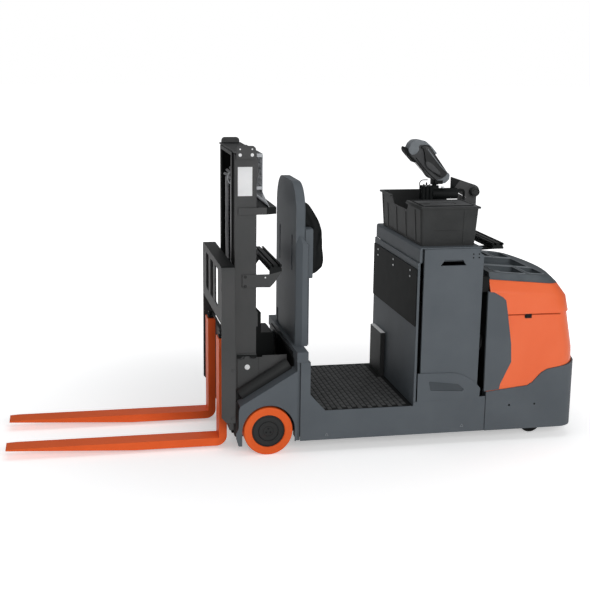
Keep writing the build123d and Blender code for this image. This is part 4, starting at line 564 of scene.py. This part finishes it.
# Mast: plugs in the cap plates, blank plate on the rail, leaf chains over the sheaves

CAP_HOLES = (-382.5, -312.5)
PLUG_INNER_Y, PLUG_OUTER_Y = 312.5, 320.2
for side, sign, plug_finish in (("near", -1, "nylon_white"), ("far", 1, "mast_enamel")):
    plugs = [pin((hole_x, sign * PLUG_INNER_Y, hole_z),
                 (hole_x, sign * PLUG_OUTER_Y, hole_z), hole_r)
             for hole_x in CAP_HOLES for hole_z, hole_r in ((1751, 9.8), (1784, 4.8))]
    dress(join(plugs), f"cap_plate_plugs_{side}", plug_finish, "inner_mast", 0.4)
dress(block((-394, -307.4, 1515), (-310, -306, 1682)), "blank_rating_plate",
      "nylon_white", edge_mm=0.4)

LINK_PITCH = 25.0
CHAIN_Y = 103.0


def link_plates(x, y, z):
    """One pitch of leaf chain: two outer plates, the inner ones and both pins."""
    def stadium(low, high, half):
        return soften([(x - half, z + low), (x + half, z + low), (x + half, z + high),
                       (x - half, z + high)], half, 3)
    parts = [prism(stadium(-13, 13, 8), y - 10.5, 3.4),
             prism(stadium(-13, 13, 8), y + 7.1, 3.4),
             prism(stadium(0.5, 24.5, 8), y - 6.3, 12.6)]
    for pin_z in (-6, 6):
        parts.append(pin((x, y - 12, z + pin_z), (x, y + 12, z + pin_z), 3.4, 8))
    return join(parts)


def chain_run(x, low_z, high_z):
    """Both chains of the machine between two heights."""
    count = int((high_z - low_z - 12) // LINK_PITCH)
    link = link_plates(x, 0, high_z - 12.5)
    return repeat(link, [(0, side * CHAIN_Y, -LINK_PITCH * step)
                         for side in (-1, 1) for step in range(count)])


LOW_END, SHEAVE_Z, CHAIN_X, SHEAVE_X = 340, 1575, -399, -351
REAR_CHAIN_X = -303
WRAP_RADIUS, WRAP_STEP = 48, 22.5
front_chains = chain_run(CHAIN_X, LOW_END - 12, SHEAVE_Z)
ends = []
for side in (-1, 1):
    y = side * CHAIN_Y
    ends.append(pin((CHAIN_X, y, LOW_END + 1), (CHAIN_X, y, LOW_END + 30), 7))
front_chains = dress(join([front_chains] + ends), "leaf_chains", "chain_steel",
                     "inner_mast")
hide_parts("lift_chains")
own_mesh(front_chains)
over = []
for step in range(1, 8):
    angle = math.radians(180 - step * WRAP_STEP)
    link = link_plates(0, 0, 0)
    link.data.transform(Matrix.Rotation(math.pi / 2 - angle, 4, "Y"))
    link.data.transform(Matrix.Translation(
        Vector((SHEAVE_X + WRAP_RADIUS * math.cos(angle), 0,
                SHEAVE_Z + WRAP_RADIUS * math.sin(angle))) * MM))
    over.append(link)
over = join(over)
dress(repeat(over, [(0, -CHAIN_Y, 0), (0, CHAIN_Y, 0)]), "chain_wraps", "chain_steel",
      "inner_mast")
# Rear runs to their anchors. They ride on the chassis, so they stay down at full lift
tails = [chain_run(REAR_CHAIN_X, 790, SHEAVE_Z)]
for side in (-1, 1):
    y = side * CHAIN_Y
    tails.append(block((-315, y - 14, 770), (-284, y + 14, 800)))
    tails.append(pin((REAR_CHAIN_X, y, 750), (REAR_CHAIN_X, y, 770), 7))
    tails.append(pin((REAR_CHAIN_X, y, 758), (REAR_CHAIN_X, y, 766), 12, 6))
tails = dress(join(tails), "chain_anchor_runs", "chain_steel")
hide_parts("chain_tails")
flanges = [ring((SHEAVE_X, side * CHAIN_Y + lip, SHEAVE_Z), (0, 1, 0), 45, 4)
           for side in (-1, 1) for lip in (-15, 15)]
dress(join(flanges), "sheave_flanges", "bright_steel", "inner_mast")

# Bolts on the rail brackets, the load rest, the skirt and the board
TOWARD_CAMERA_SIDE = (0, -1, 0)
dress(both_sides(join([pin((-350, -316.4, z), (-350, -313, z), 9.5)
                       for z in (1042, 986)])),
      "bracket_bolts", "cast_hub_black", edge_mm=0.8)
dress(both_sides(pin((-232, -314.6, 1035), (-232, -313, 1035), 4.5)),
      "bracket_hole_plugs", "nylon_white", edge_mm=0.3)
dress(both_sides(join([bolt((-443, -445, z), TOWARD_CAMERA_SIDE, 8) for z in (515, 224)])),
      "load_rest_bolts", "mast_enamel", "carriage", 0.6)
dress(both_sides(join([pin((x, -480, 229), (x, -478.5, 229), 7) for x in (1258, 1423)])),
      "skirt_screws", "black_chassis_enamel", edge_mm=0.3)
dress(join([bolt((641, y, z), (-1, 0, 0), 5) for y in (-342, 13, 365)
            for z in (1025, 1062)]), "board_screws", "zinc_plate", edge_mm=0.5)
dress(both_sides(join([bolt((x, -474, z), TOWARD_CAMERA_SIDE, 3.6)
                       for x in (986, 1022) for z in (1152, 1173)])),
      "door_screws", "black_chassis_enamel", edge_mm=0.4)
dress(both_sides(pin((-338, -316, 496), (-338, -313.5, 496), 16, 32)), "base_plate_plugs",
      "nylon_white", edge_mm=0.8)
marks = []
for x, z in ((115, 103), (959, 112)):
    for turn in (90, 210, 330):
        a, b = math.radians(turn), math.radians(turn + 120)
        marks.append(pin((x + 11 * math.cos(a), -476.4, z + 11 * math.sin(a)),
                         (x + 11 * math.cos(b), -476.4, z + 11 * math.sin(b)), 1.6, 8))
dress(both_sides(join(marks)), "jacking_marks", "abs_light_grey")

# Fine wires of the guard screen, behind its punched sheet
MESH_X, MESH_PITCH, WIRE_RADIUS = -247, 9, 1.1
wires = [pin((MESH_X, MESH_PITCH * step, 1500), (MESH_X, MESH_PITCH * step, 1748),
             WIRE_RADIUS, 6) for step in range(-32, 33)]
wires += [pin((MESH_X, -290, z), (MESH_X, 290, z), WIRE_RADIUS, 6)
          for z in range(1500, 1750, MESH_PITCH)]
dress(join(wires), "guard_mesh", "galvanised_wire")

# Painted shade over each mast foot: a thin black sheet that stands for the shadow in the
# gap there, and the round bar behind the fender
gap = [(-398, 575), (-285, 570), (-285, 551), (-316, 553), (-327, 563), (-362, 564),
       (-377, 552), (-398, 550)]
dress(both_sides(prism(gap, -315.2, 2.2)), "mast_foot_gap_shades", "black_chassis_enamel")
dress(both_sides(pin((-388, -349, 338), (-92, -349, 518), 36, 48)), "fender_bars",
      "cast_hub_black", edge_mm=2.0)

# Fork latches on the carriage bar
latches = []
for y in (-256, 256):
    latches.append(block((-502, y - 34, 672), (-466, y + 34, 684)))
    latches.append(pin((-484, y, 684), (-484, y, 703), 9))
    latches.append(block((-496, y - 10, 700), (-472, y + 36, 708)))
dress(join(latches), "fork_latches", "black_chassis_enamel", "carriage", 2.0)

# Load wheel hubs: two cover rings and three pips
WHEEL_X, WHEEL_Z, PIP_CIRCLE = -237, 145.5, 15
for side, sign in (("near", -1), ("far", 1)):
    face = sign * 474
    parts = [ring((WHEEL_X, face, WHEEL_Z), (0, 1, 0), 30, 1.0),
             ring((WHEEL_X, face, WHEEL_Z), (0, 1, 0), 88, 1.0)]
    for turn in (90, 210, 330):
        x = WHEEL_X + PIP_CIRCLE * math.cos(math.radians(turn))
        z = WHEEL_Z + PIP_CIRCLE * math.sin(math.radians(turn))
        parts.append(pin((x, face - sign, z), (x, face + sign * 2.2, z), 5))
    dress(join(parts), f"load_hub_cover_{side}", "rubber_black",
          f"load_wheel_{side}", 0.6)

# Standing mat: rows of low rounded tiles, every other row set half a pitch along
TILE_PITCH_X, TILE_PITCH_Y = 31.0, 58.0
mat_low, mat_high = (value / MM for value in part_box("floor_mat"))
tile = block((-12.5, -24, -1), (12.5, 24, 2.2))
bevel = tile.modifiers.new("round", "BEVEL")
bevel.width = 2.0 * MM
bevel.segments = 2
bpy.ops.object.modifier_apply(modifier="round")
moves = []
for row in range(21):
    x = mat_low.x + 17 + row * TILE_PITCH_X
    for step in range(-8, 9):
        y = (step + 0.5 * (row % 2)) * TILE_PITCH_Y
        near_box = x > 595 and 140 < y < 455
        if abs(y) < 442 and not near_box:
            moves.append((x, y, mat_high.z))
dress(repeat(tile, moves), "mat_tiles", "mat_rubber")

# Bin lid: raised lip toward the operator, and a hinge bar by the bin's edge
lip = [(651, 1440), (658, 1456), (676, 1456), (676, 1452), (664, 1451), (659, 1440)]
dress(prism(lip, -426, 262), "lid_lip", "polypropylene_black", edge_mm=1.0)
dress(join([hose([(668, -152, 1451), (1024, -152, 1451)], 4.5),
            block((690, -158, 1446), (740, -140, 1453)),
            block((950, -158, 1446), (1000, -140, 1453))]), "lid_hinge",
      "polypropylene_black", edge_mm=1.0)

rim = soften([(690, -405), (1004, -405), (1004, -168), (690, -168)], 22)
dress(hose([(x, y, 1453) for x, y in rim], 2.2, closed=True), "lid_rim", "rubber_black")
round_pad = pin((728, -300, 1452), (728, -300, 1455), 34, 40)
dress(round_pad, "lid_boss", "polypropylene_black", edge_mm=1.0)

# Control head: terminal in a cradle, seen edge on, with its hand strap
HEAD_LOW_Y, HEAD_HIGH_Y = 60, 132
shell = soften([(738, 1708), (735, 1762), (768, 1794), (800, 1798), (836, 1786),
                (868, 1758), (914, 1696), (962, 1633), (996, 1590), (1001, 1554),
                (974, 1530), (947, 1530), (905, 1550), (872, 1560), (843, 1598),
                (800, 1652)], 16)
head = dress(prism(shell, HEAD_LOW_Y, HEAD_HIGH_Y - HEAD_LOW_Y), "head_shell",
             "abs_dark_grey", edge_mm=7.0, segments=4)
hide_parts("control_head")
cap = soften([(728, 1742), (736, 1718), (755, 1706), (781, 1716), (799, 1741), (792, 1759),
              (803, 1770), (859, 1768), (904, 1708), (915, 1716), (880, 1757), (838, 1793),
              (800, 1801), (766, 1797), (742, 1776)], 9)
dress(prism(cap, 52, 88), "head_cap", "abs_light_grey", edge_mm=6.0, segments=4)
foot = soften([(916, 1548), (947, 1529), (974, 1528), (1001, 1553), (1004, 1582),
               (990, 1598), (979, 1577), (946, 1556)], 8)
dress(prism(foot, 54, 84), "head_foot_cap", "abs_light_grey", edge_mm=5.0, segments=3)
roll = soften([(704, 1742), (711, 1758), (722, 1752), (786, 1668), (774, 1656),
               (712, 1722)], 8)
dress(prism(roll, 66, 74), "head_bumper", "rubber_black", edge_mm=6.0, segments=4)
glass = prism([(750.5, 1695.5), (836.5, 1602.5), (842, 1609), (756, 1702)], 68, 56)
dress(glass, "head_screen", "gloss_black", edge_mm=0.8)
band = soften([(826, 1742), (804, 1757), (838, 1766), (867, 1756), (974, 1611), (979, 1582),
               (953, 1565), (930, 1572), (884, 1606), (841, 1655)], 12)
dress(prism(band, 42, 24), "hand_strap", "gloss_black", edge_mm=7.0, segments=4)
grip = soften([(837, 1663), (846, 1634), (884, 1605), (938, 1579), (934, 1600),
               (921, 1615), (882, 1654), (852, 1668)], 12)
dress(prism(grip, 39.5, 16), "strap_pad", "abs_dark_grey", edge_mm=3.0, segments=3)
# A raised rib along the strap; its light grey is a painted highlight on the glossy strap
dress(hose([(849, 42, 1744), (904, 40.5, 1676), (950, 41, 1624), (980, 44, 1600)], 3.2),
      "strap_piping_highlight", "abs_light_grey")
dress(hose([(868, 47, 1748), (924, 46, 1672), (968, 47, 1614)], 2.4), "strap_hem",
      "abs_light_grey")
seam_line = [(780, 58, 1690), (826, 58, 1632), (876, 58, 1580), (914, 58, 1551)]
dress(hose(seam_line, 2.4), "head_seam", "rubber_black")
dress(join([block((893, 68, 1519), (937, 108, 1564)),
            block((906, 52, 1524), (960, 66, 1548))]), "head_bracket",
      "black_chassis_enamel", edge_mm=3.0)

# Clamp under the head: studs, bolts and the release key, then the arm's own plates
studs = [pin((x, 88, 1511), (x, 88, z), 5, 12) for x, z in ((846, 1522), (864, 1532),
                                                            (884, 1520))]
dress(join(studs), "clamp_studs", "black_chassis_enamel", edge_mm=1.0)
dress(join([bolt((852, 66, 1512), (0, 0, 1), 5), bolt((880, 66, 1512), (0, 0, 1), 5)]),
      "clamp_bolts", "zinc_plate", edge_mm=0.5)
dress(prism(soften([(948, 1502), (958, 1512), (972, 1508), (964, 1498)], 3), 50, 12),
      "release_key", "zinc_plate", edge_mm=1.0)
dress(prism([(1031, 1492), (1031, 1560), (1091, 1539), (1055, 1492)], 108.6, 1.4),
      "plate_cover", "black_chassis_enamel", edge_mm=0.4)
gusset = soften([(1036, 1480), (1152, 1424), (1152, 1400), (1100, 1400), (1062, 1440)], 6)
dress(prism(gusset, 110, 8), "plate_gusset", "mast_enamel", edge_mm=1.0)
dress(prism([(1020, 1492), (1078, 1492), (1078, 1438), (1026, 1446)], 114, 6),
      "plate_stiffener", "black_chassis_enamel", edge_mm=0.6)
dress(join([ring((1184, 63.9, 1469), (0, 1, 0), 19, 1.4)]), "knob_ring", "rubber_black")

# Between console and power unit: cable loops and buffers
loop = [(1046, -392, 676), (1064, -404, 672), (1078, -424, 640), (1072, -436, 600),
        (1058, -420, 566), (1046, -400, 558)]
dress(both_sides(hose(loop, 7)), "battery_leads", "rubber_black")
dress(both_sides(block((1049, -452, 936), (1104, -410, 1030))), "unit_buffers",
      "rubber_black", edge_mm=4.0)

# Hood: a black block that stands for the shade in the notch under the brow, and a painted
# shadow line under the brow; then the tray's pocket edges and its pad
dress(both_sides(prism(soften([(1334, 771), (1376, 771), (1376, 797), (1334, 797)], 5),
                       -473.5, 14)), "hood_notch_shades", "black_chassis_enamel", edge_mm=1.0)
# Painted shadow: a thin darker orange bar along the underside of the brow
brow_line = [(1226, -470.6, 794), (1400, -470.6, 793), (1560, -470.6, 791)]
dress(both_sides(hose(brow_line, 2.8)), "brow_shadows", "hood_shade")
SLOPE = math.radians(5.3)


def on_tray(x, y, lift):
    """A point of the tray's sloping top, x counted from the power unit's front."""
    return (1105 + x * math.cos(SLOPE) + lift * math.sin(SLOPE), y,
            1052 - x * math.sin(SLOPE) + lift * math.cos(SLOPE))


rims = []
for px, py, length, width in ((150, -284, 200, 228), (330, -270, 110, 200),
                              (210, 0, 330, 300), (150, 284, 200, 228),
                              (330, 270, 110, 200)):
    corners = soften([(px - length / 2, py - width / 2), (px + length / 2, py - width / 2),
                      (px + length / 2, py + width / 2), (px - length / 2, py + width / 2)],
                     22, 3)
    rims.append(hose([on_tray(x, y, 0.5) for x, y in corners], 3.2, closed=True))
dress(join(rims), "tray_rims", "abs_light_grey")
pad = prism(soften([(-34, -138), (34, -138), (34, 138), (-34, 138)], 14), 0, 6, "Z")
pad.data.transform(Matrix.Rotation(SLOPE, 4, "Y"))
pad.data.transform(Matrix.Translation(Vector(on_tray(132, -110, -34)) * MM))
dress(pad, "tray_pad", "abs_light_grey", edge_mm=2.0)


# Back rest cushion: filled by a cloth simulation, then fitted flat to its post

CUSHION_VOXEL_MM = 6
CUSHION_FRAMES = 20
CUSHION_MOST_MOVE_MM = 9


def make_cushion():
    """The padded cushion, blown up a little from a slimmer block."""
    outline = [(9, 1472), (41, 1454), (90, 1379), (123, 1309), (138, 1066), (106, 1036),
               (75, 1026), (56, 1026), (56, 1311), (9, 1319)]
    cushion = prism(soften(outline, 12, 3), -218, 436)
    bevel = cushion.modifiers.new("round", "BEVEL")
    bevel.width = 12 * MM
    bevel.segments = 3
    bevel.limit_method = "ANGLE"
    bevel.angle_limit = math.radians(50)
    bpy.ops.object.modifier_apply(modifier="round")
    remesh = cushion.modifiers.new("skin", "REMESH")
    remesh.mode = "VOXEL"
    remesh.voxel_size = CUSHION_VOXEL_MM * MM
    bpy.ops.object.modifier_apply(modifier="skin")
    rest = [vertex.co.copy() for vertex in cushion.data.vertices]
    held = cushion.vertex_groups.new(name="held")
    for vertex in cushion.data.vertices:
        x, z = vertex.co.x / MM, vertex.co.z / MM
        against = x < (12 if z > 1317 else 59)
        held.add([vertex.index], 1.0 if against else 0.0, "REPLACE")
    cloth = cushion.modifiers.new("fill", "CLOTH")
    cloth.settings.quality = 6
    cloth.settings.mass = 0.3
    cloth.settings.tension_stiffness = 30
    cloth.settings.compression_stiffness = 30
    cloth.settings.use_pressure = True
    cloth.settings.uniform_pressure_force = 3
    cloth.settings.effector_weights.gravity = 0
    cloth.settings.vertex_group_mass = "held"
    cloth.point_cache.frame_start = 1
    cloth.point_cache.frame_end = CUSHION_FRAMES
    for step in range(1, CUSHION_FRAMES + 1):
        bpy.context.scene.frame_set(step)
    bpy.ops.object.modifier_apply(modifier="fill")
    bpy.context.scene.frame_set(1)
    most = CUSHION_MOST_MOVE_MM * MM
    for vertex, place in zip(cushion.data.vertices, rest):
        moved = vertex.co - place
        if moved.length > most:
            vertex.co = place + moved.normalized() * most
    low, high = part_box("back_cushion")
    for vertex in cushion.data.vertices:
        wall = 6.8 if vertex.co.z / MM > 1314 else 52.8
        vertex.co.x = max(vertex.co.x, wall * MM)
        vertex.co.x = min(vertex.co.x, high.x + 6 * MM)
        vertex.co.y = min(max(vertex.co.y, low.y - 4 * MM), high.y + 4 * MM)
    smooth = cushion.modifiers.new("smooth", "SUBSURF")
    smooth.levels = 1
    smooth.render_levels = 1
    bpy.ops.object.modifier_apply(modifier="smooth")
    dress(cushion, "padded_back_cushion", "vinyl_black")
    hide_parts("back_cushion")


make_cushion()


# Studio

def make_studio():
    """White floor and backdrop, a broad frontal light and an even sky."""
    bpy.ops.mesh.primitive_plane_add(size=120, location=(0, 0, 0))
    floor = bpy.context.object
    floor.name = "studio_floor"
    finish, tree, output, place = new_finish("studio_floor_paint")
    path = add_node(tree, "ShaderNodeLightPath")
    seen = add_node(tree, "ShaderNodeMath", {"operation": "MAXIMUM"})
    tree.links.new(path.outputs["Is Camera Ray"], seen.inputs[0])
    tree.links.new(path.outputs["Is Glossy Ray"], seen.inputs[1])
    away = add_node(tree, "ShaderNodeVectorMath", {"operation": "LENGTH"},
                    {"Vector": place})
    # Near the object the glow is low enough to keep its shadow; far off the floor is white
    fade = add_node(tree, "ShaderNodeMapRange", {"interpolation_type": "SMOOTHSTEP"}, {
        "Value": away.outputs["Value"], "From Min": 0.9, "From Max": 4.0,
        "To Min": 0.4, "To Max": 1.0})
    strength = add_node(tree, "ShaderNodeMath", {"operation": "MULTIPLY"})
    tree.links.new(seen.outputs["Value"], strength.inputs[0])
    tree.links.new(fade.outputs["Result"], strength.inputs[1])
    paint = add_node(tree, "ShaderNodeBsdfDiffuse", sockets={"Color": linear("#FFFFFF")})
    glow = add_node(tree, "ShaderNodeEmission", sockets={
        "Strength": strength.outputs["Value"]})
    both = add_node(tree, "ShaderNodeAddShader")
    tree.links.new(paint.outputs["BSDF"], both.inputs[0])
    tree.links.new(glow.outputs["Emission"], both.inputs[1])
    tree.links.new(both.outputs["Shader"], output.inputs["Surface"])
    floor.data.materials.append(finish)

    world = bpy.data.worlds.new("studio")
    bpy.context.scene.world = world
    world.use_nodes = True
    tree = world.node_tree
    tree.nodes.clear()
    output = add_node(tree, "ShaderNodeOutputWorld")
    path = add_node(tree, "ShaderNodeLightPath")
    white = add_node(tree, "ShaderNodeBackground", sockets={
        "Color": linear("#FFFFFF"), "Strength": 1.0})
    sky = add_node(tree, "ShaderNodeBackground", sockets={
        "Color": linear("#F4F6FA"), "Strength": 0.2})
    direct = add_node(tree, "ShaderNodeMath", {"operation": "MAXIMUM"})
    tree.links.new(path.outputs["Is Camera Ray"], direct.inputs[0])
    tree.links.new(path.outputs["Is Transmission Ray"], direct.inputs[1])
    choose = add_node(tree, "ShaderNodeMixShader", sockets={"Fac": direct.outputs["Value"]})
    tree.links.new(sky.outputs["Background"], choose.inputs[1])
    tree.links.new(white.outputs["Background"], choose.inputs[2])
    tree.links.new(choose.outputs["Shader"], output.inputs["Surface"])

    # (name, place, aim, width, height, watts)
    for name, place, aim, width, height, watts in (
            ("key_light", (1.5, -7.0, 3.2), (0.2, 0, 0.9), 5.0, 3.0, 238),
            ("top_light", (0.0, 0.0, 6.0), (0.0, 0, 0.0), 6.0, 4.0, 90),
            ("back_light", (2.0, 7.0, 3.0), (0.2, 0, 0.8), 5.0, 3.0, 30),
            ("side_light", (-6.5, -2.0, 2.8), (-0.3, 0, 0.9), 3.0, 3.0, 12)):
        bpy.ops.object.light_add(type="AREA", location=place)
        light = bpy.context.object
        light.name = name
        light.data.shape = "RECTANGLE"
        light.data.size = width
        light.data.size_y = height
        light.data.energy = watts
        toward = Vector(aim) - Vector(place)
        light.rotation_euler = toward.to_track_quat("-Z", "Y").to_euler()


make_studio()
bpy.context.scene.view_settings.view_transform = "Standard"
